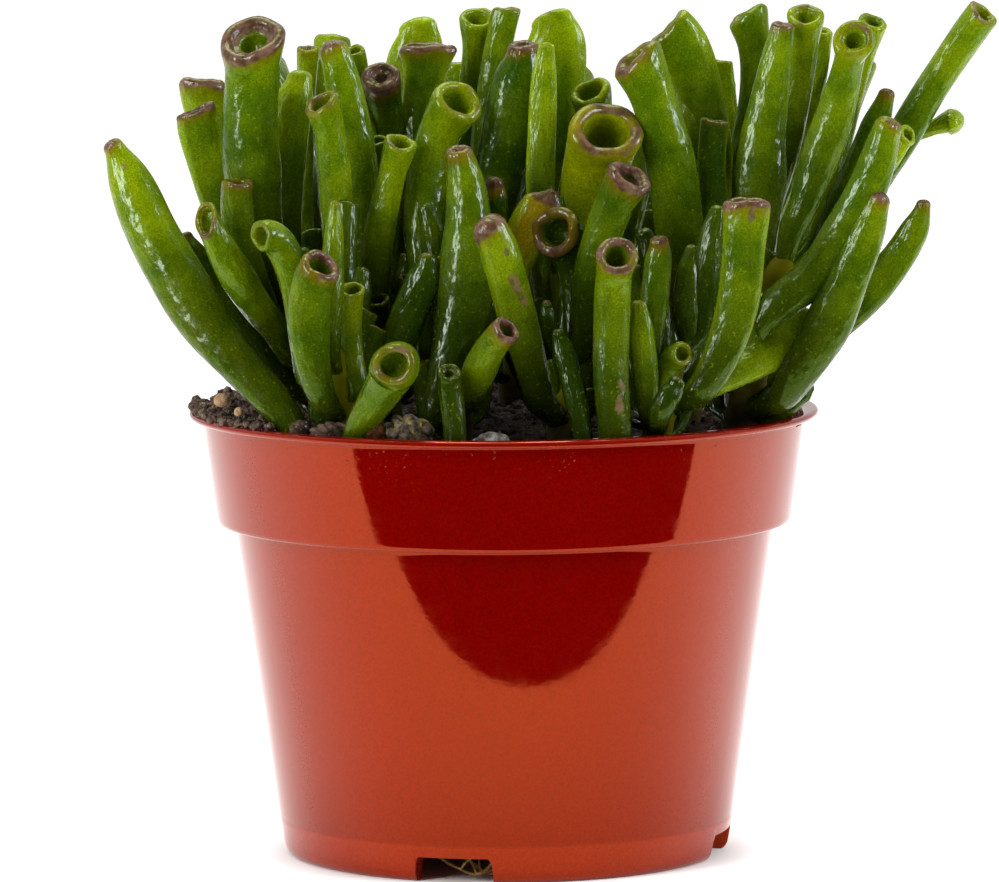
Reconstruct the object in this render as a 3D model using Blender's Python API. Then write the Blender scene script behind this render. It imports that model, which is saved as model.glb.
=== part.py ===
"""A jade plant with tubular leaves, growing in a round plastic nursery pot.

Lengths in the tables are in millimetres, measured from the pot's axis (x to the right, y to the back)
and from the surface that the pot stands on (z up). mm() turns them into metres.
"""
import bmesh
import bpy
import numpy as np
from mathutils import Vector

# Driving dimensions, in millimetres.
LIP_RADIUS = 60.0
LIP_TOP = 85.0
LIP_DEPTH = 1.9
LIP_ROUNDING = 0.5
COLLAR_TOP_RADIUS = 57.4
COLLAR_FOOT_RADIUS = 54.8
COLLAR_FOOT = 64.2
BODY_TOP_RADIUS = 51.2
BODY_TOP = 62.6
BAND_RADIUS = 43.4
BAND_TOP = 7.0
FOOT_RADIUS = 41.0
FOOT_RING_WIDTH = 1.6
FOOT_FLARE = 1.6
FOOT_FLARE_HEIGHT = 2.2
UNDERCUT = 1.2
WALL = 1.0
LIP_WALL = 0.8
STEP_SLOPE = 0.8
FLOOR_UNDERSIDE = 5.0
NOTCH_WIDTH = 15.0
NOTCH_HEIGHT = 4.7
NOTCH_TURN = -13.6
POT_SEGMENTS = 64

SOIL_TOP = 82.0
SOIL_EDGE_DROP = 3.4
SOIL_SEGMENTS = 40
HEAP_DIRECTION = 197.0
HEAP_HALF_WIDTH = 38.0
HEAP_BRIM = 0.8
HEAP_SPILL_START = 0.97
# The soil's top, ring by ring from its edge inwards: distance in from the pot's wall, depth below
# SOIL_TOP, how much the heap raises it, how far the heap pushes it out over the lip, and the height of
# its slow bumps.
SOIL_RINGS = (
    (0.9, 1.6, 6.0, 3.0, 0.0),
    (3.0, 0.8, 7.4, 3.2, 0.25),
    (9.3, 0.4, 3.8, 0.0, 0.4),
    (20.3, 0.0, 0.0, 0.0, 0.4),
    (36.3, -0.3, 0.0, 0.0, 0.4),
)
GAP = 0.35
STEM_FOOT = 79.0
STEM_SIDES = 8
SOCKET_TOP = 88.0

LEAF_SIDES = 8
LEAF_RINGS = (0.0, 0.06, 0.25, 0.45, 0.65, 0.82, 0.93, 1.0)
MOUTH_TURN_START = 0.7
NOD = 0.4

# Each stem: foot and top (x, y), height of the top, radius at the foot and at the top.
STEMS = {
    "stem_left": ((-33, -13), (-35, -9), 106, 3.2, 2.6),
    "stem_left_front": ((-30, -38), (-31, -37), 101, 3.0, 2.4),
    "stem_left_inner": ((-21, -15), (-25, -9), 103, 3.0, 2.4),
    "stem_front": ((-9, -34), (-8, -26), 104, 3.0, 2.4),
    "stem_centre": ((11, -33), (12, -21), 102, 3.4, 2.6),
    "stem_right_front": ((27, -40), (32, -38), 99, 3.0, 2.4),
    "stem_right": ((43, -22), (53, -20), 116, 3.4, 2.8),
    "stem_right_inner": ((34, 0), (38, 2), 104, 3.0, 2.4),
    "stem_middle": ((-9, 9), (-8, 10), 104, 3.2, 2.6),
    "stem_middle_right": ((12, 8), (12, 8), 98, 3.0, 2.4),
    "stem_back_left": ((-27, 26), (-30, 29), 107, 3.2, 2.6),
    "stem_back": ((2, 35), (2, 38), 103, 3.0, 2.4),
    "stem_back_right": ((30, 28), (33, 31), 108, 3.2, 2.6),
}

# Each leaf: its stem and the height that it leaves it at (TOP for the leaf at the stem's tip), the points
# in the middle of its length and of its mouth, its width at the base, middle, neck and mouth, its
# thickness as a share of its width, the way its mouth faces, and the kind of tip.
TOP = 0
LEAVES = {
    "leaf_left_outer": ("stem_left", 87, (-59, -26, 105), (-73.5, -22, 138),
        (6.5, 10, 8.5, 5), 0.8, (-0.75, -0.35, 0.6), "point"),
    "leaf_left_back": ("stem_left", 96, (-50, 8, 121), (-57, 6, 146.5),
        (5, 7.5, 8.5, 9), 0.6, (0.05, 0.1, 1), "blunt"),
    "leaf_left_slanted": ("stem_left", 92, (-53.5, -10, 126), (-57.5, -12, 142.5),
        (5, 8.5, 8.5, 7.5), 0.7, (-0.4, -0.5, 0.75), "point"),
    "leaf_left_trumpet": ("stem_left", 101, (-49, -20, 132.5), (-46.5, -22, 156.5),
        (5.5, 10, 10, 11), 0.85, (-0.25, -0.8, 0.5), "cup"),
    "leaf_left_cup": ("stem_left", 95, (-51, -34, 114), (-55, -34, 124),
        (5, 7.5, 5.5, 5), 0.85, (-0.85, -0.35, 0.35), "cup"),
    "leaf_left_front_stout": ("stem_left_front", 88, (-36, -50, 105), (-33.5, -50, 116.5),
        (5, 7.5, 9, 8), 0.85, (0.5, -0.45, 0.75), "cup"),
    "leaf_left_inner_trumpet": ("stem_left_inner", 89, (-33, -28, 124), (-33.5, -28, 145),
        (4.5, 6.5, 6, 6.5), 0.85, (-0.55, -0.2, 0.8), "cup"),
    "leaf_left_inner_tall": ("stem_left_inner", TOP, (-27, -16, 130), (-32, -16, 155.5),
        (4.5, 7, 7, 5), 0.75, (-0.3, -0.25, 0.9), "point"),
    "leaf_left_inner_cup": ("stem_left_inner", 97, (-23.5, -24, 119), (-19, -22, 137),
        (4.5, 6, 6, 6), 0.85, (0.35, -0.6, 0.7), "cup"),
    "leaf_front_left_cup": ("stem_left_front", 85, (-22, -52, 94), (-20, -56, 100),
        (5.5, 7, 7.5, 8.5), 0.9, (-0.05, -0.95, 0.25), "cup"),
    "leaf_front_cup": ("stem_front", 89, (-4, -50, 97), (0.5, -54, 105),
        (4.5, 6, 5.5, 4.5), 0.9, (0.6, -0.6, 0.5), "cup"),
    "leaf_front_tall": ("stem_front", 94, (-7, -34, 113), (-8, -32, 136),
        (5, 9, 7, 5), 0.85, (-0.15, -0.35, 0.9), "blunt"),
    "leaf_front_slanted": ("stem_centre", 86, (2, -44, 106.5), (-2.5, -46, 123.5),
        (5.5, 8, 8.5, 6.5), 0.85, (-0.5, -0.55, 0.65), "point"),
    "leaf_front_right_cup": ("stem_right_front", 85, (19.5, -53, 102), (21, -54, 118.5),
        (6, 7, 7.5, 8), 0.9, (0.12, -0.93, 0.3), "cup"),
    "leaf_front_right_flat": ("stem_right_front", 90, (42, -45, 104), (45, -45, 127),
        (5.5, 7.5, 9, 9), 0.6, (0, -0.1, 1), "blunt"),
    "leaf_middle_rounded": ("stem_middle", 92, (-18.5, 22, 132.5), (-16, 20, 157.5),
        (5, 8.5, 9, 5), 0.45, (-0.2, 0.3, 0.9), "point"),
    "leaf_middle_flat": ("stem_middle", 97, (-16, 4, 132), (-14, 4, 153),
        (5.5, 9, 9.5, 10), 0.5, (0, -0.1, 1), "blunt"),
    "leaf_middle_small_cup": ("stem_middle", TOP, (-8, 12, 135), (-4.5, 10, 158.5),
        (4, 5.5, 5.5, 7.5), 0.85, (0, -0.75, 0.65), "cup"),
    "leaf_middle_dark": ("stem_middle", 89, (-0.5, -10, 131), (4, -10, 154),
        (5.5, 9.5, 8, 5), 0.8, (-0.05, -0.3, 1), "blunt"),
    "leaf_middle_trumpet": ("stem_front", 100, (-15, -20, 123.5), (-8.5, -17, 144.5),
        (5, 7, 9.5, 8.5), 0.85, (0.6, -0.65, 0.45), "cup"),
    "leaf_middle_broad": ("stem_middle_right", TOP, (9, 8, 133.5), (9.5, 8, 159.5),
        (5, 9, 10.5, 7), 0.4, (-0.45, 0.2, 0.85), "point"),
    "leaf_centre_trumpet": ("stem_centre", TOP, (13.5, -18, 119.5), (19.5, -22, 139),
        (6.5, 10, 12.5, 12.5), 0.85, (0.3, -0.85, 0.4), "cup"),
    "leaf_centre_mauve_trumpet": ("stem_centre", 95, (17, -34, 115.5), (23.5, -36, 131.5),
        (5, 7, 8, 8.5), 0.85, (0.65, -0.5, 0.55), "cup"),
    "leaf_right_inner_slanted": ("stem_right_inner", 91, (32, -18, 123), (25.5, -20, 152),
        (6.5, 9.5, 9.5, 8.5), 0.7, (-0.6, -0.4, 0.7), "point"),
    "leaf_right_inner_broad": ("stem_right_inner", 98, (39, -4, 134.5), (32, -8, 157),
        (5.5, 8.5, 9.5, 6.5), 0.6, (-0.7, 0.1, 0.7), "point"),
    "leaf_right_inner_tall": ("stem_right_inner", TOP, (46, 2, 135.5), (47, 2, 159),
        (5, 6.5, 7, 7), 0.7, (-0.55, -0.05, 0.8), "point"),
    "leaf_right_tall": ("stem_right", 104, (48, -12, 130), (53, -12, 158),
        (5.5, 8.5, 5, 4), 0.75, (0.1, -0.2, 1), "blunt"),
    "leaf_right_trumpet": ("stem_right", TOP, (59.5, -26, 134), (65.5, -30, 156.5),
        (4.5, 7, 6, 7), 0.9, (0.05, -0.85, 0.5), "cup"),
    "leaf_right_low_cup": ("stem_right", 99, (64, -30, 119), (72, -34, 141.5),
        (5, 7, 7, 6.5), 0.85, (0.7, -0.45, 0.5), "cup"),
    "leaf_right_outer": ("stem_right", 110, (77, -12, 137), (90.5, -12, 160),
        (5, 6.5, 6, 6), 0.85, (0.6, -0.4, 0.65), "cup"),
    "leaf_right_pointed": ("stem_right", 93, (70, -16, 109.5), (79.5, -16, 125.5),
        (4.5, 7, 5.5, 2.5), 0.7, (0.1, -0.1, 1), "point"),
    "leaf_right_curved": ("stem_right", 87, (60, -38, 104), (70, -40, 125),
        (6.5, 8.5, 7.5, 4), 0.75, (0.45, -0.3, 0.8), "point"),
    "leaf_back_left_outer": ("stem_back_left", 89, (-46, 36, 108), (-53, 40, 133),
        (6, 9, 8, 4.5), 0.8, (-0.7, 0.4, 0.6), "point"),
    "leaf_back_left_trumpet": ("stem_back_left", 97, (-40, 46, 118), (-46, 54, 146),
        (5.5, 8, 8, 8.5), 0.85, (-0.3, 0.8, 0.5), "cup"),
    "leaf_back_left_tall": ("stem_back_left", 101, (-28, 41.5, 126), (-32, 47, 152),
        (5, 8, 8, 7), 0.7, (0.1, 0.6, 0.8), "blunt"),
    "leaf_back_left_inner": ("stem_back_left", 104, (-42, 24, 126), (-48, 22, 152),
        (5, 7.5, 7, 7.5), 0.85, (-0.7, 0.2, 0.7), "cup"),
    "leaf_back_right_outer": ("stem_back_right", 89, (50, 38, 112), (65, 44, 138),
        (6, 9, 8, 4.5), 0.8, (0.6, 0.5, 0.6), "point"),
    "leaf_back_right_trumpet": ("stem_back_right", 94, (36, 50, 116), (42, 60, 142),
        (5.5, 8, 8.5, 9), 0.85, (0.1, 0.85, 0.5), "cup"),
    "leaf_back_right_flat": ("stem_back_right", 101, (30, 42, 127), (34, 46, 153),
        (5, 9, 8.5, 7), 0.55, (-0.1, 0.3, 1), "blunt"),
    "leaf_back_right_inner": ("stem_back_right", 98, (48, 24, 128), (56, 24, 153),
        (5, 7.5, 7, 7.5), 0.85, (0.6, 0.3, 0.7), "cup"),
    "leaf_back_low": ("stem_back", 87, (-12, 52, 110), (-20, 62, 134),
        (5.5, 8.5, 8, 4.5), 0.8, (-0.3, 0.6, 0.7), "point"),
    "leaf_back_trumpet": ("stem_back", 95, (12, 50, 116), (14, 58, 144),
        (5, 8, 8, 8.5), 0.85, (0.1, 0.85, 0.5), "cup"),
}
# Depth of a mouth as a share of its half-width, by kind of tip.
CUP_DEPTH = {"cup": 0.9, "blunt": 0.35, "point": 0.2}
MOUTH_RIM = 0.3

# Each stone: centre and half-sizes along x, y and z, and turn about z in degrees.
STONES = {
    "pebble_lichened": ((-17.4, -48.4, 85.3), (4.2, 2.7, 3.3), -8),
    "pebble_grey": ((-2.6, -52.4, 84.1), (3.1, 2.2, 1.9), 3),
    "bark_chip": ((-23.3, -49.2, 84.7), (2.2, 1.0, 2.3), 25),
}


def mm(values):
    return np.asarray(values, float) * 0.001


def unit(vector):
    vector = np.asarray(vector, float)
    return vector / np.linalg.norm(vector, axis=-1, keepdims=True)


def clear_scene():
    for obj in list(bpy.data.objects):
        bpy.data.objects.remove(obj, do_unlink=True)


def material(name, colour, roughness):
    """A plain finish, made once and shared by pieces of the same stuff."""
    made = bpy.data.materials.get(name)
    if made is None:
        made = bpy.data.materials.new(name)
        made.use_nodes = True
        shader = made.node_tree.nodes["Principled BSDF"]
        shader.inputs["Base Color"].default_value = (*colour, 1)
        shader.inputs["Roughness"].default_value = roughness
        made.diffuse_color = (*colour, 1)
    return made


def add_piece(name, points, faces, finish, parent):
    """One named object from points in millimetres, shaded smooth but for its sharp edges."""
    mesh = bpy.data.meshes.new(name)
    mesh.from_pydata([tuple(p) for p in mm(points)], [], faces)
    mesh.materials.append(finish)
    mesh.shade_smooth()
    mesh.set_sharp_from_angle(angle=np.radians(50))
    piece = bpy.data.objects.new(name, mesh)
    bpy.context.scene.collection.objects.link(piece)
    piece.parent = parent
    return piece


def skin(ring_count, sides):
    """Faces of a closed skin over rings of points, with a pole point before the first and after the last."""
    faces = []
    for ring in range(ring_count - 1):
        for side in range(sides):
            after = (side + 1) % sides
            low, high = ring * sides, (ring + 1) * sides
            faces.append((low + side, low + after, high + after, high + side))
    pole = ring_count * sides
    top = (ring_count - 1) * sides
    faces += [(pole, (side + 1) % sides, side) for side in range(sides)]
    faces += [(pole + 1, top + side, top + (side + 1) % sides) for side in range(sides)]
    return faces


def turned(profile, segments):
    """Points of a profile of (radius, height) pairs turned about the z axis, ring by ring."""
    turn = np.linspace(0, 2 * np.pi, segments, endpoint=False)
    circle = np.stack([np.cos(turn), np.sin(turn), 0 * turn], 1)
    return np.concatenate([radius * circle + (0, 0, height) for radius, height in profile])


# The pot -----------------------------------------------------------------------------------------------


def pot_profile():
    """The wall's section: up the outside, over the lip, down the inside, and under the raised floor."""
    inner_foot = FOOT_RADIUS - FOOT_RING_WIDTH
    outside = [
        (FOOT_RADIUS, 0),
        (FOOT_RADIUS + 0.7 * FOOT_FLARE, 0.3 * FOOT_FLARE_HEIGHT),
        (FOOT_RADIUS + FOOT_FLARE, FOOT_FLARE_HEIGHT),
        (BAND_RADIUS, BAND_TOP),
        (BAND_RADIUS + 0.15, BAND_TOP + 0.5),
        (BODY_TOP_RADIUS, BODY_TOP),
        (COLLAR_FOOT_RADIUS - UNDERCUT, COLLAR_FOOT - UNDERCUT / 2),
        (COLLAR_FOOT_RADIUS, COLLAR_FOOT + UNDERCUT / 2),
        (COLLAR_TOP_RADIUS, LIP_TOP - LIP_DEPTH),
        (LIP_RADIUS - 1.5 * LIP_ROUNDING, LIP_TOP - 2.2 * LIP_ROUNDING),
        (LIP_RADIUS, LIP_TOP - LIP_ROUNDING),
        (LIP_RADIUS - LIP_ROUNDING, LIP_TOP),
    ]
    inside = [
        (COLLAR_TOP_RADIUS - LIP_WALL, LIP_TOP),
        (COLLAR_FOOT_RADIUS - WALL, COLLAR_FOOT + STEP_SLOPE),
        (BODY_TOP_RADIUS - WALL, BODY_TOP),
        (BAND_RADIUS - WALL, FLOOR_UNDERSIDE + 1.5 * WALL),
        (BAND_RADIUS - 2 * WALL, FLOOR_UNDERSIDE + WALL),
    ]
    underside = [(inner_foot - WALL / 2, FLOOR_UNDERSIDE), (inner_foot, 0)]
    return outside, inside, underside


def pot_cutters(parent):
    """Four boxes that notch the foot ring, a quarter turn apart, as one hidden object."""
    cutter = bmesh.new()
    for quarter in range(4):
        turn = np.radians(NOTCH_TURN + 90 * quarter)
        out = Vector((np.sin(turn), -np.cos(turn), 0))
        along = Vector((np.cos(turn), np.sin(turn), 0))
        box = bmesh.ops.create_cube(cutter, size=1)["verts"]
        for vert in box:
            radius = FOOT_RADIUS + 10 * vert.co.x
            height = (NOTCH_HEIGHT + 1) * (vert.co.z + 0.5) - 1
            place = out * radius + along * (NOTCH_WIDTH * vert.co.y) + Vector((0, 0, height))
            vert.co = place * 0.001
    bmesh.ops.recalc_face_normals(cutter, faces=cutter.faces)
    mesh = bpy.data.meshes.new("notches")
    cutter.to_mesh(mesh)
    cutter.free()
    notches = bpy.data.objects.new("notches", mesh)
    bpy.context.scene.collection.objects.link(notches)
    notches.parent = parent
    notches.hide_render = True
    notches.display_type = "WIRE"
    return notches


def cut(piece, cutter):
    """Take the cutter's space out of the piece."""
    boolean = piece.modifiers.new("cut", "BOOLEAN")
    boolean.operation = "DIFFERENCE"
    boolean.solver = "EXACT"
    boolean.object = cutter


def make_pot(parent):
    """A thin wall turned about the pot's axis, its foot ring notched."""
    outside, inside, underside = pot_profile()
    floor_centre = [(0, 0, FLOOR_UNDERSIDE), (0, 0, FLOOR_UNDERSIDE + WALL)]
    rings = [underside[0], underside[1], *outside, *inside]
    points = np.concatenate([turned(rings, POT_SEGMENTS), floor_centre])
    finish = material("pot_plastic", (0.48, 0.07, 0.03), 0.35)
    pot = add_piece("pot", points, skin(len(rings), POT_SEGMENTS), finish, parent)
    cut(pot, pot_cutters(parent))
    return pot


# The soil ----------------------------------------------------------------------------------------------


def peat():
    return material("peat", (0.035, 0.027, 0.022), 0.95)


def heap(turn):
    """1 where the soil is heaped over the lip at the left, falling smoothly to 0 at the heap's sides."""
    away = (np.degrees(turn) - HEAP_DIRECTION + 180) % 360 - 180
    rise = np.clip(1.5 * (1 - np.abs(away) / HEAP_HALF_WIDTH), 0, 1)
    return rise * rise * (3 - 2 * rise)


def soil_ring(radius, height, turn, wave):
    """One ring of soil with slow bumps along it, wave mm high."""
    bump = wave * (np.sin(3 * turn + radius) + np.sin(7 * turn - 2 * radius)) / 2
    return np.stack([radius * np.cos(turn), radius * np.sin(turn), height + bump], 1)


def make_soil(parent):
    """A plug that fills the pot a small gap clear of its wall and step, with its bumpy, heaped top."""
    turn = np.linspace(0, 2 * np.pi, SOIL_SEGMENTS, endpoint=False)
    lift = heap(turn)
    spill = np.clip((lift - HEAP_SPILL_START) / (1 - HEAP_SPILL_START), 0, 1)
    wall = COLLAR_TOP_RADIUS - LIP_WALL - GAP
    low_edge = SOIL_TOP - SOIL_EDGE_DROP
    edge = low_edge + (LIP_TOP + 2 * GAP - low_edge) * np.clip(lift / HEAP_BRIM, 0, 1)
    step_top = COLLAR_FOOT + STEP_SLOPE
    collar_lean = (COLLAR_TOP_RADIUS - COLLAR_FOOT_RADIUS + WALL - LIP_WALL) / (LIP_TOP - step_top)
    floor = FLOOR_UNDERSIDE + WALL + GAP
    round_pot = 0 * turn
    rings = [
        soil_ring(round_pot + BAND_RADIUS - 2 * WALL - GAP, floor, turn, 0),
        soil_ring(round_pot + BODY_TOP_RADIUS - WALL - 1.5 * GAP, BODY_TOP + GAP, turn, 0),
        soil_ring(round_pot + COLLAR_FOOT_RADIUS - WALL - 1.5 * GAP, step_top + 3 * GAP, turn, 0),
        soil_ring(wall - GAP - collar_lean * np.maximum(LIP_TOP - edge, 0), edge, turn, 0),
    ]
    for inset, depth, rise, push, wave in SOIL_RINGS:
        rings.append(soil_ring(wall - inset + push * spill, SOIL_TOP - depth + rise * lift, turn, wave))
    points = np.concatenate([*rings, [(0, 0, floor), (0, 0, SOIL_TOP - SOIL_RINGS[-1][1])]])
    soil = add_piece("soil", points, skin(len(rings), SOIL_SEGMENTS), peat(), parent)
    cut(soil, stem_sockets(parent))
    return soil


def stem_sockets(parent):
    """The holes that the stems stand in: one hidden object of plugs that are a gap wider than each stem."""
    circle = turned([(1, 0)], STEM_SIDES)
    heights = (STEM_FOOT - GAP, SOCKET_TOP)
    points, faces = [], []
    for name, (_, _, _, foot_radius, _) in STEMS.items():
        start = len(points)
        for height in heights:
            points += list(stem_at(name, height)[0] + (foot_radius + 1.5 * GAP) * circle)
        points += [stem_at(name, height)[0] for height in heights]
        faces += [tuple(start + corner for corner in face) for face in skin(len(heights), STEM_SIDES)]
    plugs = add_piece("sockets", points, faces, peat(), parent)
    plugs.hide_render = True
    plugs.display_type = "WIRE"
    return plugs


# The stems and leaves ----------------------------------------------------------------------------------


def stem_at(name, height):
    """The stem's centre and radius at a height."""
    foot, top, top_height, foot_radius, top_radius = STEMS[name]
    share = (height - STEM_FOOT) / (top_height - STEM_FOOT)
    low, high = np.array([*foot, STEM_FOOT], float), np.array([*top, top_height], float)
    return low + (high - low) * share, foot_radius + (top_radius - foot_radius) * share


def make_stem(name, parent):
    """A tapering round stem from below the soil's top up to its tip."""
    top_height = STEMS[name][2]
    circle = turned([(1, 0)], STEM_SIDES)
    rings = []
    for height in (STEM_FOOT, top_height):
        centre, radius = stem_at(name, height)
        rings.append(centre + radius * circle)
    poles = [stem_at(name, STEM_FOOT)[0], stem_at(name, top_height)[0]]
    finish = material("stem_bark", (0.16, 0.15, 0.04), 0.7)
    return add_piece(name, np.concatenate([*rings, poles]), skin(len(rings), STEM_SIDES), finish, parent)


def leaf_base(stem, height, middle, mouth, width):
    """Where a leaf leaves its stem: on the side towards the leaf's middle, a gap clear of the stem."""
    if height == TOP:
        top, _ = stem_at(stem, STEMS[stem][2])
        lean = unit(np.array(middle, float) - top)
        return top + np.array([0, 0, 1.5 * GAP + 0.5 * width * np.hypot(lean[0], lean[1])])
    centre, radius = stem_at(stem, height)
    out = np.array(middle, float) - centre
    out[2] = 0
    out = unit(out)
    base = centre + out * radius
    for _ in range(3):
        start = unit(2 * np.array(middle, float) - (base + np.array(mouth, float)) / 2 - base)
        steep = np.sqrt(max(0.0, 1 - (start @ out) ** 2))
        base = centre + out * (radius + 2 * GAP + 0.45 * width * steep)
    return base


def leaf_path(base, middle, mouth, facing, along):
    """A curve through the three points that nods towards the way the mouth faces, and its direction."""
    base, middle, mouth = (np.array(p, float) for p in (base, middle, mouth))
    corner = 2 * middle - (base + mouth) / 2
    first = base + (corner - base) * 2 / 3
    turned_in = unit((1 - NOD) * unit(mouth - corner) + NOD * unit(facing))
    second = mouth - np.linalg.norm(mouth - corner) * 2 / 3 * turned_in
    t = along[:, None]
    path = (1 - t) ** 3 * base + 3 * t * (1 - t) ** 2 * first + 3 * t**2 * (1 - t) * second + t**3 * mouth
    way = 3 * (1 - t) ** 2 * (first - base) + 6 * t * (1 - t) * (second - first) + 3 * t**2 * (mouth - second)
    return path, unit(way)


def leaf_rings(base, middle, mouth, widths, flatness, facing, kind):
    """Oval rings along the leaf; the last ones slide along it to lie in the plane of its mouth."""
    along = np.array(LEAF_RINGS)
    path, way = leaf_path(base, middle, mouth, facing, along)
    across = unit(np.array([1.0, 0, 0]) - way[:, :1] * way)
    through = np.cross(way, across)
    wide = np.interp(along, [0, 0.05, 0.5, 0.86, 1], [widths[0] * 0.75, *widths]) / 2
    open_flatness = (1 + flatness) / 2 if kind == "cup" else flatness
    thick = wide * np.interp(along, [0, MOUTH_TURN_START, 1], [max(flatness, 0.8), flatness, open_flatness])
    share = np.clip((along - MOUTH_TURN_START) / (1 - MOUTH_TURN_START), 0, 1)[:, None]
    plane = unit((1 - share) * way + share * unit(facing))
    turn = np.linspace(0, 2 * np.pi, LEAF_SIDES, endpoint=False)
    ovals = (wide[:, None] * np.cos(turn))[..., None] * across[:, None]
    ovals = ovals + (thick[:, None] * np.sin(turn))[..., None] * through[:, None]
    lean = np.maximum((way * plane).sum(-1), 0.45)
    slide = -(ovals * plane[:, None]).sum(-1) / lean[:, None]
    return path[:, None] + ovals + slide[..., None] * way[:, None], plane[-1]


def make_leaf(name, parent):
    """One leaf as a closed skin, its tip turned in over a narrow rim to a shallow or deep cup."""
    stem, height, middle, mouth, widths, flatness, facing, kind = LEAVES[name]
    base = leaf_base(stem, height, middle, mouth, widths[0])
    rings, mouth_facing = leaf_rings(base, middle, mouth, widths, flatness, facing, kind)
    centre = rings[-1].mean(0)
    lip = centre + (rings[-1] - centre) * (1 - MOUTH_RIM)
    bottom = centre - mouth_facing * CUP_DEPTH[kind] * widths[3] / 2
    points = np.concatenate([rings.reshape(-1, 3), lip, [rings[0].mean(0), bottom]])
    finish = material("leaf_" + kind, (0.10, 0.17, 0.012), 0.4)
    return add_piece(name, points, skin(len(rings) + 1, LEAF_SIDES), finish, parent)


# The stones --------------------------------------------------------------------------------------------


def make_stone(name, parent):
    """A weathered lump: a ball of triangles, squashed, with slow dents."""
    centre, half, turn = STONES[name]
    lump = bmesh.new()
    bmesh.ops.create_icosphere(lump, subdivisions=2, radius=1)
    angle = np.radians(turn)
    for vert in lump.verts:
        x, y, z = vert.co
        dent = 1 + 0.10 * np.sin(3.1 * x + 1.3) * np.cos(2.7 * y) + 0.07 * np.sin(4.3 * z + 0.6 + x)
        local = np.array([x, y, z]) * half * dent
        place = np.array([
            local[0] * np.cos(angle) - local[1] * np.sin(angle),
            local[0] * np.sin(angle) + local[1] * np.cos(angle),
            local[2],
        ])
        vert.co = mm(place + centre)
    mesh = bpy.data.meshes.new(name)
    lump.to_mesh(mesh)
    lump.free()
    colour = (0.12, 0.06, 0.04) if name.startswith("bark") else (0.3, 0.28, 0.25)
    mesh.materials.append(material(name, colour, 0.9))
    mesh.shade_smooth()
    stone = bpy.data.objects.new(name, mesh)
    bpy.context.scene.collection.objects.link(stone)
    stone.parent = parent
    return stone


def centre_on_surface(parent, pieces):
    """Move everything together so that the box round all pieces is centred on x = y = 0."""
    bpy.context.view_layer.update()
    corners = [piece.matrix_world @ Vector(corner) for piece in pieces for corner in piece.bound_box]
    for axis in range(2):
        values = [corner[axis] for corner in corners]
        parent.location[axis] = -(min(values) + max(values)) / 2


def build():
    clear_scene()
    origin = bpy.data.objects.new("plant_origin", None)
    bpy.context.scene.collection.objects.link(origin)
    pieces = [make_pot(origin), make_soil(origin)]
    pieces += [make_stem(name, origin) for name in STEMS]
    pieces += [make_leaf(name, origin) for name in LEAVES]
    pieces += [make_stone(name, origin) for name in STONES]
    centre_on_surface(origin, pieces)


build()
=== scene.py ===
"""A jade plant with tubular leaves, growing in a round plastic nursery pot.

Lengths in the sections below are in millimetres from the pot's axis (x to the right, y to the back) and
from the surface that the pot stands on (z up). place() turns them into the frame's metres.
"""
import math

import bmesh
import bpy
import numpy as np
from mathutils import Matrix, Vector


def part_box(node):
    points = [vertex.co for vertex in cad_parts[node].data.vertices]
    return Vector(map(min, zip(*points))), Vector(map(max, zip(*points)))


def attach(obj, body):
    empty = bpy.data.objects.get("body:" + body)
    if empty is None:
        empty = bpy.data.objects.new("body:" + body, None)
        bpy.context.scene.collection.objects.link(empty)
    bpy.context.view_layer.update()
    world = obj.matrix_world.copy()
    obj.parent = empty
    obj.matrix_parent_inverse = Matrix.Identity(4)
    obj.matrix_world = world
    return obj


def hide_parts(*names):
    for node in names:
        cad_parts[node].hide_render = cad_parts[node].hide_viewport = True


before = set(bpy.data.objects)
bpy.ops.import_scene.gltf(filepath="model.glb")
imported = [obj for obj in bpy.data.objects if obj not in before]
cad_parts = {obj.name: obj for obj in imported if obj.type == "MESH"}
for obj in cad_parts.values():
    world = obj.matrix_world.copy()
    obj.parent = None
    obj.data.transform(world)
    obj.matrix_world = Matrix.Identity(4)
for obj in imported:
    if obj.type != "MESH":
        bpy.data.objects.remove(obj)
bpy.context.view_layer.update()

# ---- The camera ----
# A long lens a metre and a half in front of the pot, a little above the leaves' tips. It looks down at them,
# and is turned a third of a degree from level.

pot_low, pot_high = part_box("pot")
POT_AXIS = np.array([(pot_low.x + pot_high.x) / 2, (pot_low.y + pot_high.y) / 2, 0.0])
CAMERA_PLACE = (-0.84, -1500.0, 243.9)
CAMERA_DOWN = math.radians(6.29)
CAMERA_ROLL = math.radians(0.35)


def place(points):
    """Millimetres from the pot's axis to metres in the frame."""
    return np.asarray(points, float) * 0.001 + POT_AXIS


def added(made):
    """The object, linked into the scene."""
    bpy.context.scene.collection.objects.link(made)
    return made


lens = bpy.data.cameras.new("studio_camera")
lens.sensor_width = 36.0
lens.lens = 284.9
lens.clip_start = 0.05
lens.clip_end = 50.0
camera = added(bpy.data.objects.new("studio_camera", lens))
camera.matrix_world = (
    Matrix.Translation(place(CAMERA_PLACE))
    @ Matrix.Rotation(math.radians(90) - CAMERA_DOWN, 4, "X")
    @ Matrix.Rotation(-CAMERA_ROLL, 4, "Z")
)
bpy.context.scene.camera = camera

# ---- The floor and the light ----
# A pale floor under soft light from the front and both sides. A black sheet lies on it from a hand's breadth in
# front of the pot. Only reflections see it, so it is a painted dark reflection in the glossy pot, standing for a
# dark room.

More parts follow.
